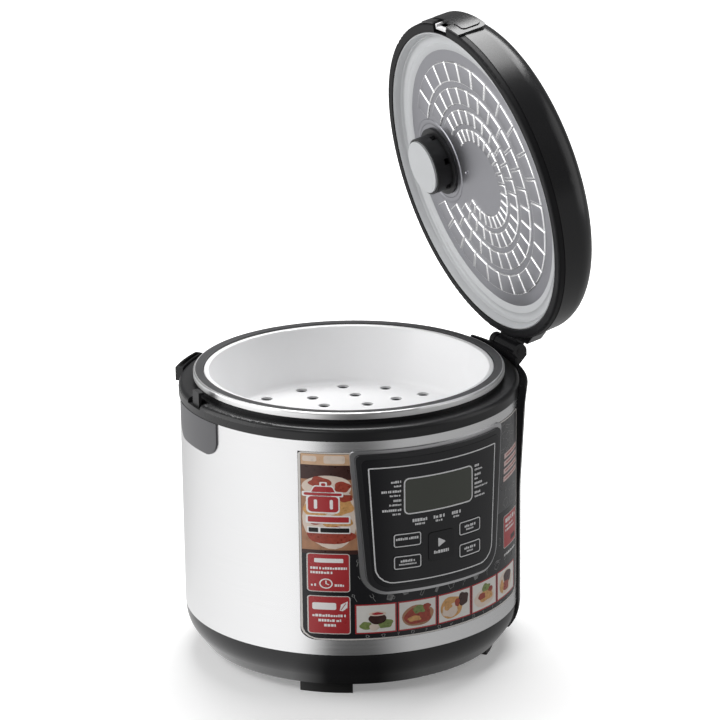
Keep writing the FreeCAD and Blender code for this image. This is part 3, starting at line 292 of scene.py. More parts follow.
nodeFinish = {
    "blackGloss": ("base_shell", "rear_column", "ladle_holder", "lid_cover", "latch_button", "hinge_arm"),
    "collarBlack": ("top_collar",),
    "frameBlack": ("lid_frame",),
    "blackSatin": ("lid_catch", "hinge_pin", "hinge_bushes", "inlet_socket", "valve_socket", "valve_cup",
                   "vent_cap", "steam_duct", "lid_liner"),
    "tongueGrey": ("latch_ear",),
    "brushedSteel": ("steel_wrap",),
    "millSteel": ("heat_shield", "heating_element", "plate_posts", "sensor_sleeve"),
    "basketWhite": ("steamer_basket",),
    "castAluminium": ("heating_plate", "sensor_cap"),
    "lidAluminium": ("inner_lid_plate",),
    "silicone": ("lid_gasket", "valve_seal"),
    "valveGrey": ("valve_face",),
    "inkWhite": ("latch_bar",),
    "trimSilver": ("panel_trim",),
    "panelCharcoal": ("panel_housing",),
    "panelFilm": ("panel_overlay", "wrap_label"),
    "displayLens": ("display_window",),
    "keyPlastic": ("key_start", "key_upper_left", "key_lower_left", "key_upper_right", "key_lower_right"),
    "footRubber": ("rubber_feet",),
    "circuitBoard": ("power_board", "control_board"),
    "component": ("transformer", "relay", "display_module", "key_switches"),
    "fastener": ("base_screws", "shield_screws", "board_screws", "plate_studs"),
    "spring": ("hinge_spring", "latch_spring", "sensor_spring"),
    "brass": ("inlet_pins", "thermal_fuse"),
}


def coat(piece, material):
    piece.data.materials.clear()
    piece.data.materials.append(material)


for finish, names in nodeFinish.items():
    for name in names:
        if name in cad:
            coat(cad[name], paint[finish])
print("finishes on the frame's own pieces")


bowlSet = {"edge": (1.9, 1.6), "edgeColour": (0.78, 0.78, 0.78, 1)}


def bowlMaterial():
    made = surface("bowlCoating", (0.05, 0.05, 0.052), 0.36, bump=0.01)
    tree = made.node_tree
    shade = tree.nodes["Principled BSDF"]
    where = add(tree, "ShaderNodeTexCoord")
    split = add(tree, "ShaderNodeSeparateXYZ")
    tree.links.new(where.outputs["Object"], split.inputs[0])
    flat = add(tree, "ShaderNodeCombineXYZ")
    tree.links.new(split.outputs["X"], flat.inputs["X"])
    tree.links.new(split.outputs["Y"], flat.inputs["Y"])
    far = add(tree, "ShaderNodeVectorMath", operation="LENGTH")
    tree.links.new(flat.outputs[0], far.inputs[0])
    edge = add(tree, "ShaderNodeMapRange")
    edge.inputs["From Min"].default_value = rimRadius - bowlSet["edge"][0] * mm
    edge.inputs["From Max"].default_value = rimRadius - bowlSet["edge"][1] * mm
    tree.links.new(far.outputs["Value"], edge.inputs["Value"])
    mix = add(tree, "ShaderNodeMix", data_type="RGBA")
    old = shade.inputs["Base Color"].links[0].from_socket
    tree.links.new(edge.outputs[0], mix.inputs["Factor"])
    tree.links.new(old, mix.inputs["A"])
    mix.inputs["B"].default_value = bowlSet["edgeColour"]
    tree.links.new(mix.outputs["Result"], shade.inputs["Base Color"])
    tree.links.new(edge.outputs[0], shade.inputs["Metallic"])
    return made


coat(cad["inner_bowl"], bowlMaterial())


# a mesh built here: smooth, closed, coated and carried by one body


def built(name, mesh, material, body, sharp=35):
    if isinstance(mesh, bmesh.types.BMesh):
        bmesh.ops.recalc_face_normals(mesh, faces=mesh.faces)
        data = bpy.data.meshes.new(name)
        mesh.to_mesh(data)
        mesh.free()
        mesh = data
    mesh.polygons.foreach_set("use_smooth", [True] * len(mesh.polygons))
    mesh.set_sharp_from_angle(angle=math.radians(sharp))
    mesh.materials.append(material)
    piece = bpy.data.objects.new(name, mesh)
    bpy.context.scene.collection.objects.link(piece)
    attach(piece, body)
    return piece


def turnedShape(profile, middle=(0, 0), steps=160):
    # profile runs once round the section; a point is (radius, height) in mm in the shut lid's place
    bm = bmesh.new()
    rings = []
    for i in range(steps):
        turn = 2 * math.pi * i / steps
        rings.append([bm.verts.new(((middle[0] + r * math.cos(turn)) * mm,
                                    (middle[1] + r * math.sin(turn)) * mm, z * mm)) for r, z in profile])
    for i in range(steps):
        here, there = rings[i], rings[(i + 1) % steps]
        for k in range(len(profile)):
            n = (k + 1) % len(profile)
            bm.faces.new((here[k], there[k], there[n], here[n]))
    return bm


# lid inside: the silicone ring and the pressed cells of the inner plate

lidFace = plateHeight / mm - 9.7
ringSet = {"profile": ((131.0, 0.9), (130.2, 0.5), (129.6, 1.1), (127.6, 6.6), (127.3, 6.4), (126.6, 5.9),
                       (126.0, 6.3), (125.8, 7.6), (124.6, 8.4), (119.9, 8.5), (119.3, 7.9), (118.6, 8.1),
                       (113.6, 9.5), (113.2, 9.9), (118.0, 11.2), (131.0, 11.2))}

ringMesh = turnedShape([(r, lidFace + z) for r, z in ringSet["profile"]])
ringMesh.transform(lidSwing)
ring = built("gasketRing", ringMesh, paint["silicone"], "lid", 50)
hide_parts("lid_gasket")
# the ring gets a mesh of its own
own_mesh(ring)

cellSet = {"bands": ((85.5, 103.5, 29), (65.5, 81.0, 36), (48.0, 61.5, 41), (33.0, 44.5, 44)), "count": 28,
           "side": 0.45, "steps": ((0.0, 0.3), (0.25, -0.55), (0.8, -1.0), (1.15, -1.1))}


def cellOutline(low, high, first, last, inset):
    # points of one cell run round its edge, on the shut lid seen from above
    low, high = low + inset, high - inset
    points = []
    for r, ends in ((low, (first, last)), (high, (last, first))):
        slip = (cellSet["side"] + inset) / r
        start = ends[0] + (slip if ends[0] < ends[1] else -slip)
        end = ends[1] - (slip if ends[0] < ends[1] else -slip)
        for i in range(6):
            turn = start + (end - start) * i / 5
            points.append((r * math.sin(turn), r * math.cos(turn)))
    return points


def pressedCells():
    bm = bmesh.new()
    pitch = 2 * math.pi / cellSet["count"]
    for band, (low, high, gap) in enumerate(cellSet["bands"]):
        for i in range(cellSet["count"]):
            first = pitch * (i + band % 2 / 2)
            away = abs((first + pitch / 2 + math.pi) % (2 * math.pi) - math.pi)
            if away < math.radians(gap):
                continue
            rings = []
            for inset, rise in cellSet["steps"]:
                height = plateHeight + rise * mm
                rings.append([bm.verts.new((x * mm, y * mm, height))
                              for x, y in cellOutline(low, high, first, first + pitch, inset)])
            count = len(rings[0])
            for lower, upper in zip(rings, rings[1:]):
                for k in range(count):
                    n = (k + 1) % count
                    side = bm.faces.new((lower[k], lower[n], upper[n], upper[k]))
                    side.material_index = 1
            bm.faces.new(rings[-1])
            bm.faces.new(reversed(rings[0]))
    bm.transform(lidSwing)
    return bm


cells = built("pressedCells", pressedCells(), paint["lidAluminium"], "lid", 28)
# the cell sides take the painted edge highlight, far brighter than the plate grey
cells.data.materials.append(paint["paintedEdgeHighlight"])

beadSet = {"radius": 35.5, "width": 2.4, "rise": 0.6, "sunk": 0.4, "steps": 96, "pip": (24.0, 1.7)}


def roundBead(radius, width, rise, middle):
    face = plateHeight / mm
    profile = [(radius + width * math.cos(t), face - rise * math.sin(t))
               for t in (math.pi * k / 6 for k in range(7))]
    back = face + beadSet["sunk"]
    return turnedShape([*profile, (radius - width, back), (radius + width, back)], middle, beadSet["steps"])


beads = roundBead(beadSet["radius"], beadSet["width"], beadSet["rise"], (0, valveOffset / mm))
beads.transform(lidSwing)
built("valveBead", beads, paint["lidAluminium"], "lid", 60)

pip = bmesh.new()
bmesh.ops.create_uvsphere(pip, u_segments=20, v_segments=10, radius=beadSet["pip"][1] * mm)
pip.transform(lidSwing @ Matrix.Translation((0, beadSet["pip"][0] * mm, plateHeight)))
built("platePip", pip, paint["lidAluminium"], "lid", 60)
print("lid's silicone ring and pressed cells built")

# wire springs in place of the plain tubes

springSet = {"latch_spring": {"wire": 0.35, "turns": 2.5}, "sensor_spring": {"wire": 0.7, "turns": 6.5},
             "hinge_spring": {"wire": 0.55, "turns": 9.5}}


def coil(start, end, radius, wire, turns, sides=8, steps=22):
    # a round wire wound from start to end, closed at its tips
    bm = bmesh.new()
    along = (end - start).normalized()
    across = along.orthogonal().normalized()
    over = along.cross(across)
    count = int(turns * steps)
    first, last = start + along * wire, end - along * wire
    rings = []
    for i in range(count + 1):
        turn = 2 * math.pi * turns * i / count
        out = across * math.cos(turn) + over * math.sin(turn)
        middle = first.lerp(last, i / count) + out * (radius - wire)
        rings.append([bm.verts.new(middle + (out * math.cos(t) + along * math.sin(t)) * wire)
                      for t in (2 * math.pi * k / sides for k in range(sides))])
    for here, there in zip(rings, rings[1:]):
        for k in range(sides):
            n = (k + 1) % sides
            bm.faces.new((here[k], here[n], there[n], there[k]))
    bm.faces.new(rings[0])
    bm.faces.new(reversed(rings[-1]))
    return bm


def springSpan(name, axis, turn=Matrix()):
    # ends and outer radius of the plain tube; turn is the lid's swing for a spring drawn on the shut lid
    points = [turn.inverted() @ cad[name].matrix_world @ v.co for v in cad[name].data.vertices]
    low = Vector([min(p[i] for p in points) for i in range(3)])
    high = Vector([max(p[i] for p in points) for i in range(3)])
    start, end = (low + high) / 2, (low + high) / 2
    start[axis], end[axis] = low[axis], high[axis]
    side = (axis + 1) % 3
    return turn @ start, turn @ end, (high[side] - low[side]) / 2


for name, axis, turn, body in (("latch_spring", 0, lidSwing, "lid"),
                               ("sensor_spring", 2, Matrix(), "housing"),
                               ("hinge_spring", 1, Matrix(), "lid")):
    start, end, radius = springSpan(name, axis, turn)
    wound = springSet[name]
    mesh = coil(start, end, radius, wound["wire"] * mm, wound["turns"])
    spring = built(name.replace("_", "") + "Wire", mesh, paint["spring"], body, 60)
    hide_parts(name)
    if name == "latch_spring":
        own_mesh(spring)
    if name == "sensor_spring":
        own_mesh(spring)
print("springs wound")

# flat shapes for prints: x runs round the wall from the panel's middle, z is height, both in mm


def softened(corners, closed=True, steps=5):
    # each corner is (x, z, radius)
    points, count = [], len(corners)
    for i, (x, z, radius) in enumerate(corners):
        here = Vector((x, z))
        if not radius or (not closed and i in (0, count - 1)):
            points.append(here)
            continue
        before = (Vector(corners[i - 1][:2]) - here).normalized()
        after = (Vector(corners[(i + 1) % count][:2]) - here).normalized()
        half = before.angle(after) / 2
        middle = here + (before + after).normalized() * (radius / math.sin(half))
        start = here + before * (radius / math.tan(half)) - middle
        end = here + after * (radius / math.tan(half)) - middle
        for k in range(steps + 1):
            points.append(middle + start.lerp(end, k / steps).normalized() * radius)
    return points


def box(x0, x1, z0, z1, corner=0.0):
    return softened([(x0, z0, corner), (x1, z0, corner), (x1, z1, corner), (x0, z1, corner)])


def words(x0, x1, low, high, seed, lean=0.0):
    # blank blocks about as long as the words that a maker would print
    dice = random.Random(seed)
    blocks, x = [], x0
    while x < x1 - 0.5:
        wide = min(x1 - x, (high - low) * dice.uniform(0.42, 0.85))
        drop = (high - low) * dice.choice((0, 0, 0, 0.22))
        rise = lean * (x - x0)
        blocks.append([Vector((x, low + rise)), Vector((x + wide, low + rise + lean * wide)),
                       Vector((x + wide, high + rise - drop + lean * wide)), Vector((x, high + rise - drop))])
        x += wide + (high - low) * dice.choice((0.2, 0.2, 0.2, 0.2, 0.5))
    return blocks


def leaning(x0, x1, z0, z1, rise):
    return [Vector((x0, z0)), Vector((x1, z0 + rise)), Vector((x1, z1 + rise)), Vector((x0, z1))]


def oval(x, z, across, up, lumps=0.0, seed=0, count=26):
    dice = random.Random(seed)
    phases = [dice.uniform(0, 6.28) for _ in range(3)]
    points = []
    for i in range(count):
        turn = 2 * math.pi * i / count
        size = 1 + lumps * sum(math.sin((k + 3) * turn + phase) for k, phase in enumerate(phases)) / 2
        points.append(Vector((x + across * size * math.cos(turn), z + up * size * math.sin(turn))))
    return points


def stroke(points, width, closed=False):
    sides, count = ([], []), len(points)
    for i, here in enumerate(points):
        first = (here - points[i - 1]).normalized() if closed or i else None
        second = (points[(i + 1) % count] - here).normalized() if closed or i < count - 1 else first
        first = first or second
        out = Vector((-first.y - second.y, first.x + second.x)).normalized()
        out *= width / 2 / max(0.5, out.dot(Vector((-first.y, first.x))))
        sides[0].append(here + out)
        sides[1].append(here - out)
    return sides if closed else [*sides[0], *reversed(sides[1])]


iconLines = {
    "hat": (((-0.3, -0.5), (-0.32, 0), (-0.5, 0.15), (-0.4, 0.4), (-0.15, 0.38), (0, 0.5), (0.15, 0.38),
             (0.4, 0.4), (0.5, 0.15), (0.32, 0), (0.3, -0.5)), ((-0.3, -0.45), (0.3, -0.45))),
    "fork": (((0, -0.5), (0, 0.05)), ((-0.16, 0.5), (-0.16, 0.15), (0, 0.05), (0.16, 0.15), (0.16, 0.5))),
    "cup": (((-0.4, 0.3), (-0.3, -0.4), (0.2, -0.4), (0.3, 0.3), (-0.4, 0.3)),
            ((0.28, 0.15), (0.5, 0.1), (0.45, -0.15), (0.24, -0.2))),
    "spoon": (((0, -0.5), (0, 0.1), (-0.15, 0.3), (0, 0.5), (0.15, 0.3), (0.02, 0.1)),),
    "bottle": (((-0.15, -0.5), (-0.15, 0.1), (-0.07, 0.25), (-0.07, 0.5), (0.07, 0.5), (0.07, 0.25),
                (0.15, 0.1), (0.15, -0.5), (-0.15, -0.5)),),
    "pan": (((-0.5, 0.1), (-0.42, -0.2), (0.1, -0.2), (0.18, 0.1), (-0.5, 0.1)), ((0.18, 0.05), (0.6, 0.2))),
}


def icon(kind, x, z, size, width=0.4, tilt=0.0):
    turn = Matrix.Rotation(tilt, 2)
    return [stroke([turn @ (Vector(point) * size) + Vector((x, z)) for point in line], width)
            for line in iconLines[kind]]


wallSet = {"sunk": 0.06, "layer": 0.035, "cut": 4, "offset": 0.013}


def wallShape(shapes, radius, layer):
    # upright cuts every few mm let the flat shapes bend round the wall
    bm = bmesh.new()
    for shape in shapes:
        outlines = shape if isinstance(shape, tuple) else (shape,)
        rows = [[[bm.verts.new((p.x, depth, p.y)) for p in outline] for outline in outlines]
                for depth in (-wallSet["sunk"], wallSet["layer"] * layer)]
        count = len(outlines[0])
        for k in range(len(outlines)):
            for i in range(count):
                n = (i + 1) % count
                bm.faces.new((rows[0][k][i], rows[0][k][n], rows[1][k][n], rows[1][k][i]))
        for row in rows:
            if len(outlines) == 1:
                bm.faces.new(row[0])
                continue
            for i in range(count):
                n = (i + 1) % count
                bm.faces.new((row[0][i], row[0][n], row[1][n], row[1][i]))
    reach = int(max(abs(v.co.x) for v in bm.verts) / wallSet["cut"]) + 1
    for k in range(-reach, reach + 1):
        everything = [*bm.verts, *bm.edges, *bm.faces]
        place = (wallSet["cut"] * k + wallSet["offset"], 0, 0)
        bmesh.ops.bisect_plane(bm, geom=everything, plane_co=place, plane_no=(1, 0, 0), dist=1e-5)
    for v in bm.verts:
        x, depth, z = v.co
        v.co = (x * mm, -math.sqrt((radius + depth) ** 2 - x * x) * mm, z * mm)
    bm.transform(Matrix.Rotation(panelBearing, 4, "Z"))
    return bm


def wallSpan(node):
    # how far a piece on the panel runs: x range, z range and its outermost radius, in mm
    turn = Matrix.Rotation(-panelBearing, 4, "Z") @ cad[node].matrix_world
    points = [turn @ v.co / mm for v in cad[node].data.vertices]
    return (min(p.x for p in points), max(p.x for p in points), min(p.z for p in points),
            max(p.z for p in points), max(math.hypot(p.x, p.y) for p in points))


# label on the steel: framed tiles of plain food shapes, two red badges, line icons and bars

labelSet = {"half": 103.3, "top": 215.3, "bottom": 55.8, "corner": 10.0, "line": 1.2, "strip": 71.0}
tileSet = {"low": 60.5, "high": 86.0, "edge": 1.1,
           "spans": ((-68.9, -37.4), (-36.2, -2.4), (-1.2, 32.7), (33.9, 65.7), (66.8, 97.0))}
badgeSet = {"span": (-99.9, -72.1), "heights": ((97.0, 130.0), (60.5, 93.5)), "corner": 2.2}
art = {}


def mark(ink, layer, *shapes):
    art.setdefault((ink, layer), []).extend(shapes)


def drawTile(x0, x1, food):
    low, high, edge = tileSet["low"], tileSet["high"], tileSet["edge"]
    mark("labelRed", 1, (box(x0, x1, low, high), box(x0 + edge, x1 - edge, low + edge, high - edge)))
    mark("tileGround", 1, box(x0 + edge, x1 - edge, low + edge, high - edge))
    middle, half = (x0 + x1) / 2, (x1 - x0) / 2 - edge
    centre, up = (low + high) / 2, (high - low) / 2 - edge
    for layer, (ink, x, z, across, rise, lumps) in enumerate(food):
        mark(ink, 2 + layer, oval(middle + x * half, centre + z * up, across * half, rise * up, lumps,
                                  layer + int(x0)))


tileFood = (
    (("foodGreen", -0.55, -0.5, 0.3, 0.3, 0.1), ("foodGreen", 0.45, -0.4, 0.42, 0.34, 0.12),
     ("cream", -0.12, -0.62, 0.26, 0.26, 0.05), ("foodDark", 0.05, 0.0, 0.46, 0.42, 0.04),
     ("cream", 0.05, 0.36, 0.46, 0.17, 0.02), ("labelRed", 0.05, 0.37, 0.3, 0.09, 0.1)),
    (("tan", 0.0, -0.1, 0.88, 0.78, 0.04), ("foodRed", 0.0, -0.12, 0.76, 0.62, 0.08),
     ("golden", -0.2, -0.3, 0.36, 0.2, 0.16), ("foodGreen", 0.05, 0.35, 0.32, 0.3, 0.2),
     ("foodRed", 0.5, 0.5, 0.22, 0.2, 0.1)),
    (("golden", -0.2, -0.05, 0.72, 0.82, 0.05), ("cream", -0.3, -0.25, 0.5, 0.5, 0.14),
     ("foodDark", 0.55, 0.35, 0.34, 0.5, 0.1), ("foodRed", 0.15, 0.2, 0.16, 0.3, 0.1),
     ("golden", -0.45, 0.1, 0.24, 0.3, 0.2)),
    (("cream", 0.0, -0.2, 0.86, 0.68, 0.03), ("golden", 0.1, -0.1, 0.6, 0.44, 0.12),
     ("foodRed", -0.25, -0.05, 0.3, 0.24, 0.12), ("foodGreen", 0.1, 0.5, 0.34, 0.28, 0.16),
     ("foodRed", 0.5, 0.25, 0.2, 0.2, 0.08)),
    (("cream", -0.1, 0.0, 0.8, 0.86, 0.04), ("foodDark", 0.1, 0.3, 0.46, 0.5, 0.1),
     ("foodRed", -0.1, -0.3, 0.4, 0.36, 0.12), ("golden", -0.55, -0.2, 0.2, 0.5, 0.1)),
)
for (x0, x1), food in zip(tileSet["spans"], tileFood):
    drawTile(x0, x1, food)


def drawBorder():
    s = labelSet
    edge = softened([(-s["strip"], s["top"], 0), (-s["half"], s["top"], 2),
                     (-s["half"], s["bottom"], s["corner"]), (s["half"], s["bottom"], s["corner"]),
                     (s["half"], s["top"], 2), (s["strip"], s["top"], 0)], False)
    mark("borderInk", 2, stroke(edge, s["line"]))


def drawPicture():
    # the meal behind the left strip, from the back of the table to its near edge
    left, right = -102.4, -64.5
    mark("beige", 1, box(left, right, 205.2, 214.4))
    mark("cream", 2, box(-88.5, -74.5, 206.6, 213.2, 1.5), box(-101.5, -93.0, 208.0, 212.6, 1.2))
    mark("foodDark", 1, box(left, right, 193.0, 205.2))
    mark("tan", 1, box(left, right, 133.0, 193.0))
    mark("cream", 2, oval(-86.0, 187.0, 16.0, 9.5, 0.02, 5), oval(-84.0, 161.0, 18.0, 27.0, 0.02, 6))
    mark("foodRed", 3, oval(-91.0, 190.5, 7.0, 4.6, 0.14, 7), oval(-76.5, 187.0, 5.5, 4.6, 0.12, 8),
         oval(-84.0, 145.5, 15.5, 7.5, 0.1, 9))
    mark("golden", 3, oval(-78.0, 171.0, 9.0, 8.0, 0.1, 10), oval(-94.0, 168.0, 7.5, 7.0, 0.1, 12),
         oval(-80.5, 158.0, 11.0, 5.0, 0.14, 11))
    mark("foodRed", 4, oval(-92.5, 158.5, 6.5, 4.0, 0.14, 13), oval(-74.5, 177.5, 5.0, 3.2, 0.12, 14))
    mark("foodDark", 1, box(left, right, 129.5, 133.0))


def drawPot():
    # a plain pot with a lid where the large numerals stand, and blank bars for the words under it
    for grow, ink, layer in ((1.0, "labelWhite", 5), (0.0, "labelRed", 6)):
        mark(ink, layer, box(-98.6 - grow, -79.4 + grow, 165.4 - grow, 178.6 + grow, 2.6),
             box(-101.0 - grow, -77.0 + grow, 179.4 - grow, 181.6 + grow, 1.0),
             softened([(-96.5 - grow, 182.4 - grow, 0), (-81.5 + grow, 182.4 - grow, 0),
                       (-83.5 + grow / 2, 187.0 + grow, 2), (-94.5 - grow / 2, 187.0 + grow, 2)]),
             box(-90.4 - grow, -87.6 + grow, 187.6 - grow, 190.0 + grow, 0.9))
    mark("labelWhite", 5, box(-100.0, -71.2, 155.6, 162.6, 0.8))
    mark("labelRed", 6, box(-98.8, -72.4, 156.8, 161.4, 0.7))
    mark("labelWhite", 7, box(-95.0, -93.0, 168.0, 176.0, 0.9), box(-85.0, -83.0, 168.0, 176.0, 0.9))
    mark("labelWhite", 5, box(-99.2, -71.4, 147.2, 152.8, 0.6))
    mark("inkBlack", 6, box(-98.4, -92.6, 148.1, 151.9, 0.5), box(-91.2, -72.2, 148.1, 151.9, 0.5))


def drawBadges():
    x0, x1 = badgeSet["span"]
    for low, high in badgeSet["heights"]:
        outer = box(x0, x1, low, high, badgeSet["corner"])
        inner = box(x0 + 0.6, x1 - 0.6, low + 0.6, high - 0.6, badgeSet["corner"] - 0.5)
        mark("borderInk", 6, (outer, inner))
        mark("labelRed", 5, inner)
    mark("labelWhite", 6, box(-95.4, -76.6, 122.2, 125.8, 0.7), *words(-97.8, -74.2, 116.4, 118.4, 71),
         *words(-97.8, -84.0, 112.6, 114.6, 72), *words(-97.6, -93.6, 101.8, 103.8, 73),
         *words(-82.6, -75.0, 101.8, 103.8, 74))
    clock = oval(-88.2, 104.2, 3.9, 3.9)
    mark("labelWhite", 6, stroke(clock, 0.9, True),
         stroke([Vector((-88.2, 106.8)), Vector((-88.2, 104.2)), Vector((-86.3, 103.2))], 0.8))
    leaf = [Vector(p) for p in ((-79.4, 81.0), (-78.6, 86.2), (-74.0, 89.0), (-74.2, 83.6), (-77.4, 80.6))]
    mark("labelWhite", 6, box(-97.0, -81.8, 81.6, 87.6, 1.2), leaf, *words(-97.0, -75.0, 75.4, 77.6, 76),
         *words(-93.4, -78.6, 71.2, 73.4, 77), *words(-89.8, -82.2, 67.0, 69.2, 78))
    mark("labelRed", 7, stroke([Vector((-78.6, 81.6)), Vector((-75.2, 87.4))], 0.5))


def drawSideStrip():
    left, right = 64.8, 102.3
    mark("inkGrey", 1, box(left, right, 137.0, 214.3))
    mark("inkPink", 3, *[leaning(76.5 + k * 0.5, 101.6, 162.0 + 6.5 * k, 166.4 + 6.5 * k, 1.6)
                         for k in range(4)])
    for k in range(4):
        mark("foodRed", 4, *words(78.4 + k, 100.0, 163.9 + 6.5 * k, 165.1 + 6.5 * k, 80 + k, 0.06))
    outer, inner = box(76.8, 101.6, 103.0, 131.5, 2.0), box(77.3, 101.1, 103.5, 131.0, 1.7)
    mark("borderInk", 4, (outer, inner))
    mark("labelRed", 3, inner)
    mark("labelWhite", 4, *words(80.0, 98.4, 124.8, 128.4, 84), *words(80.0, 95.0, 120.8, 122.6, 85),
         *words(80.0, 97.0, 117.2, 119.0, 86))
    mark("inkBlack", 4, box(90.0, 98.6, 106.2, 110.4, 0.5))
    mark("labelWhite", 3, *words(78.0, 98.4, 96.2, 98.2, 87))


def drawIcons():
    dice = random.Random(41)
    kinds = list(iconLines)
    spots = [(-96 + 13.5 * k, 92.2 + dice.uniform(-1.6, 1.6), 7.0) for k in range(2, 15)]
    spots += [(-60 + 12.0 * k, 58.3, 2.8) for k in range(13)]
    spots += [(x, z, 8.0) for x in (76, 84.5, 93) for z in (190, 199.5, 208.5)]
    spots += [(x, z, 8.0) for x in (80, 90, 97.5) for z in (143, 153)]
    spots += [(-64, 108, 6.5), (-66.5, 122, 6.0), (68.0, 96, 6.0), (70.5, 112, 6.5)]
    for x, z, size in spots:
        if not -69 > x > -101:
            mark("lineInk", 3, *icon(dice.choice(kinds), x, z, size, 0.42, dice.uniform(-0.5, 0.5)))


drawBorder()
drawPicture()
drawPot()
drawBadges()
drawSideStrip()
drawIcons()
labelRadius = wallSpan("wrap_label")[4]
for (ink, layer), shapes in art.items():
    built(f"label_{ink}_{layer}", wallShape(shapes, labelRadius, layer), paint[ink], "housing")
print("label built:", sum(len(shapes) for shapes in art.values()), "shapes")

# panel prints: frame line, display outline, blank bars for the words, outlines and marks on the keys

panelSet = {"frame": ((-54.8, 104.4, 14.5), (54.8, 104.4, 14.5), (59.7, 203.0, 0.8), (-59.7, 203.0, 0.8)),
            "line": 0.95, "display": 1.1, "displayCorner": 4.0, "keyLine": 0.8, "keyCorner": 1.6}
panelRadius = wallSpan("panel_overlay")[4]
windowSpan = wallSpan("display_window")
barSet = {
    "left": ((190.2, 8.0), (186.6, 5.6), (182.3, 15.5), (178.7, 9.0), (174.4, 6.2), (170.8, 9.5),
             (166.4, 15.0), (162.8, 7.0)),
    "right": ((190.6, 5.2), (187.2, 9.0), (182.8, 7.0), (179.4, 4.0), (175.4, 8.6), (172.0, 15.0),
              (167.6, 6.5), (164.2, 11.5)),
    "below": ((-18.9, 155.8, 13.0), (-1.3, 155.8, 11.0), (15.1, 155.8, 9.0)),
}


def panelPrints():
    shapes = [stroke(softened(panelSet["frame"]), panelSet["line"], True)]
    x0, x1, z0, z1, _ = windowSpan
    shapes.append(stroke(box(x0 + 0.4, x1 - 0.4, z0 + 0.4, z1 - 0.4, panelSet["displayCorner"]),
                         panelSet["display"], True))
    edge = x1 + 2.4
    for i, (z, length) in enumerate(barSet["left"]):
        shapes += words(-edge - length, -edge, z - 0.95 + i % 2 * 0.2, z + 0.95 - i % 2 * 0.2, i)
    for i, (z, length) in enumerate(barSet["right"]):
        shapes += words(edge, edge + length, z - 0.95 + i % 2 * 0.2, z + 0.95 - i % 2 * 0.2, 20 + i)
    for i, (x, z, length) in enumerate(barSet["below"]):
        shapes += words(x - length / 2, x + length / 2, z - 1.3, z + 1.3, 40 + i)
        shapes += words(x - length / 3, x + length / 3, z - 4.2, z - 2.6, 50 + i)
    return shapes


built("panelPrints", wallShape(panelPrints(), panelRadius, 2), paint["inkWhite"], "housing")

keyBars = {"upper_left": (0.82, 0.0), "lower_left": (0.5, 0.62), "upper_right": (0.5, 0.36),
           "lower_right": (0.52, 0.3)}
for side, (wide, second) in keyBars.items():
    x0, x1, z0, z1, front = wallSpan("key_" + side)
    line, middle, half = panelSet["keyLine"], (x0 + x1) / 2, (x1 - x0) / 2
    lines = [stroke(box(x0 + line, x1 - line, z0 + line, z1 - line, panelSet["keyCorner"]), line, True)]
    centre = (z0 + z1) / 2
    lines += words(middle - half * wide, middle + half * wide, centre + 0.1, centre + 2.2, len(side))
    if second:
        lines += words(middle - half * second, middle + half * second, centre - 2.4, centre - 1.1, 9)
    built("keyPrint_" + side, wallShape(lines, front, 2), paint["inkWhite"], side + "_key")

x0, x1, z0, z1, front = wallSpan("key_start")
middle, centre = (x0 + x1) / 2, (z0 + z1) / 2
startMarks = [softened([(middle - 3.0, centre - 1.4, 0.6), (middle + 4.2, centre + 2.7, 0.6),
                        (middle - 3.0, centre + 6.8, 0.6)]),
              *words(middle - 7.0, middle + 7.0, centre - 6.6, centre - 4.0, 60)]
built("keyPrint_start", wallShape(startMarks, front, 2), paint["inkWhite"], "start_key")
print("panel prints built")

# softened edges on the frame's own pieces

edgeSet = {
    "panel_housing": 1.6, "panel_trim": 0.5, "latch_ear": 0.7, "ladle_holder": 0.6, "latch_button": 2.6,
    "rubber_feet": 1.2, "hinge_arm": 1.0, "rear_column": 0.6, "lid_catch": 0.3, "vent_cap": 0.6,
    "inlet_socket": 0.6, "key_start": 1.2, "key_upper_left": 0.4, "key_lower_left": 0.4,
    "key_upper_right": 0.4, "key_lower_right": 0.4, "valve_face": 0.5, "valve_cup": 0.5, "top_collar": 0.4,
    "lid_frame": 0.3,
}
bevelSet = {"segments": 3, "angle": 32}
for name, width in edgeSet.items():
    edge = cad[name].modifiers.new("softEdge", "BEVEL")
    edge.width = width * mm
    edge.segments = bevelSet["segments"]
    edge.limit_method = "ANGLE"
    edge.angle_limit = math.radians(bevelSet["angle"])
    edge.harden_normals = True
print("edges softened")


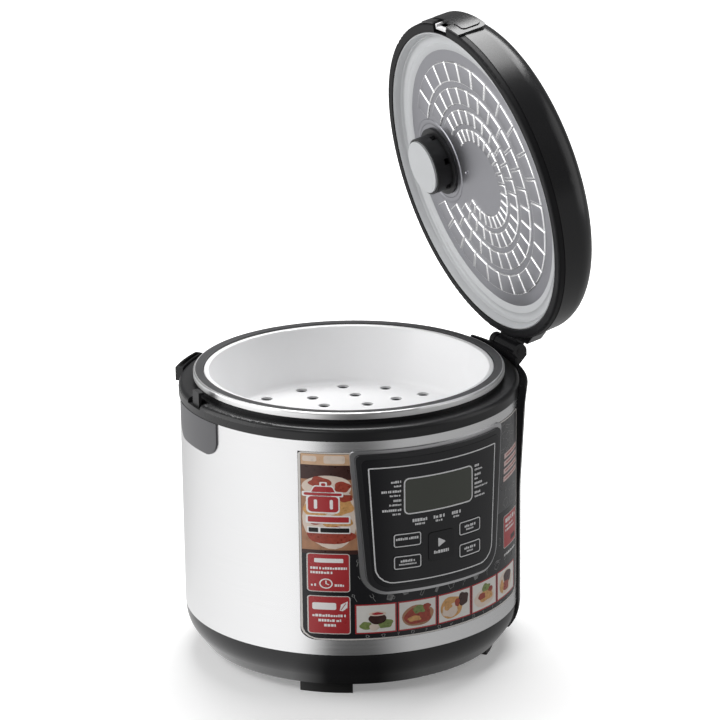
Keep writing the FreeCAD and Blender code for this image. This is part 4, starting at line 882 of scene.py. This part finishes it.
def makeFloor():
    half = floorSet["size"] / 2
    mesh = bpy.data.meshes.new("floor")
    corners = [(-half, -half, 0), (half, -half, 0), (half, half, 0), (-half, half, 0)]
    mesh.from_pydata(corners, [], [(0, 1, 2, 3)])
    floor = bpy.data.objects.new("floor", mesh)
    bpy.context.scene.collection.objects.link(floor)
    made = bpy.data.materials.new("paleFloor")
    made.use_nodes = True
    tree = made.node_tree
    shade = tree.nodes["Principled BSDF"]
    shade.inputs["Roughness"].default_value = floorSet["roughness"]
    shade.inputs["Emission Color"].default_value = (1, 1, 1, 1)
    seen = add(tree, "ShaderNodeLightPath")
    where = add(tree, "ShaderNodeTexCoord")
    turned = add(tree, "ShaderNodeMapping")
    turned.inputs["Rotation"].default_value[2] = math.radians(viewSet["bearing"])
    tree.links.new(where.outputs["Object"], turned.inputs["Vector"])
    split = add(tree, "ShaderNodeSeparateXYZ")
    tree.links.new(turned.outputs[0], split.inputs[0])
    back = add(tree, "ShaderNodeMath", operation="MULTIPLY")
    back.inputs[1].default_value = -1
    tree.links.new(split.outputs["Y"], back.inputs[0])
    angle = add(tree, "ShaderNodeMath", operation="ARCTAN2")
    tree.links.new(split.outputs["X"], angle.inputs[0])
    tree.links.new(back.outputs[0], angle.inputs[1])
    share = add(tree, "ShaderNodeMapRange")
    share.inputs["From Min"].default_value = -math.pi
    share.inputs["From Max"].default_value = math.pi
    tree.links.new(angle.outputs[0], share.inputs["Value"])
    ramp = add(tree, "ShaderNodeValToRGB")
    stops = ramp.color_ramp.elements
    while len(stops) < len(floorSet["ramp"]):
        stops.new(0.5)
    for stop, (place, bright) in zip(stops, floorSet["ramp"]):
        stop.position = place
        stop.color = (bright, bright, bright, 1)
    tree.links.new(share.outputs[0], ramp.inputs[0])
    boards = add(tree, "ShaderNodeMath", operation="MULTIPLY")
    boards.inputs[1].default_value = floorSet["boards"]
    tree.links.new(ramp.outputs[0], boards.inputs[0])
    glow = add(tree, "ShaderNodeMix", data_type="FLOAT")
    away = add(tree, "ShaderNodeVectorMath", operation="LENGTH")
    tree.links.new(where.outputs["Object"], away.inputs[0])
    fade = add(tree, "ShaderNodeMapRange")
    for label, value in (("From Min", floorSet["fade"][0]), ("From Max", floorSet["fade"][1]),
                         ("To Min", floorSet["glow"]), ("To Max", floorSet["farGlow"])):
        fade.inputs[label].default_value = value
    tree.links.new(away.outputs["Value"], fade.inputs["Value"])
    tree.links.new(fade.outputs[0], glow.inputs["B"])
    tree.links.new(seen.outputs["Is Camera Ray"], glow.inputs["Factor"])
    tree.links.new(boards.outputs[0], glow.inputs["A"])
    tree.links.new(glow.outputs["Result"], shade.inputs["Emission Strength"])
    pale = add(tree, "ShaderNodeMix", data_type="RGBA")
    pale.inputs["A"].default_value = (*[floorSet["dull"]] * 3, 1)
    pale.inputs["B"].default_value = (*[floorSet["colour"]] * 3, 1)
    tree.links.new(seen.outputs["Is Camera Ray"], pale.inputs["Factor"])
    tree.links.new(pale.outputs["Result"], shade.inputs["Base Color"])
    mesh.materials.append(made)


makeFloor()
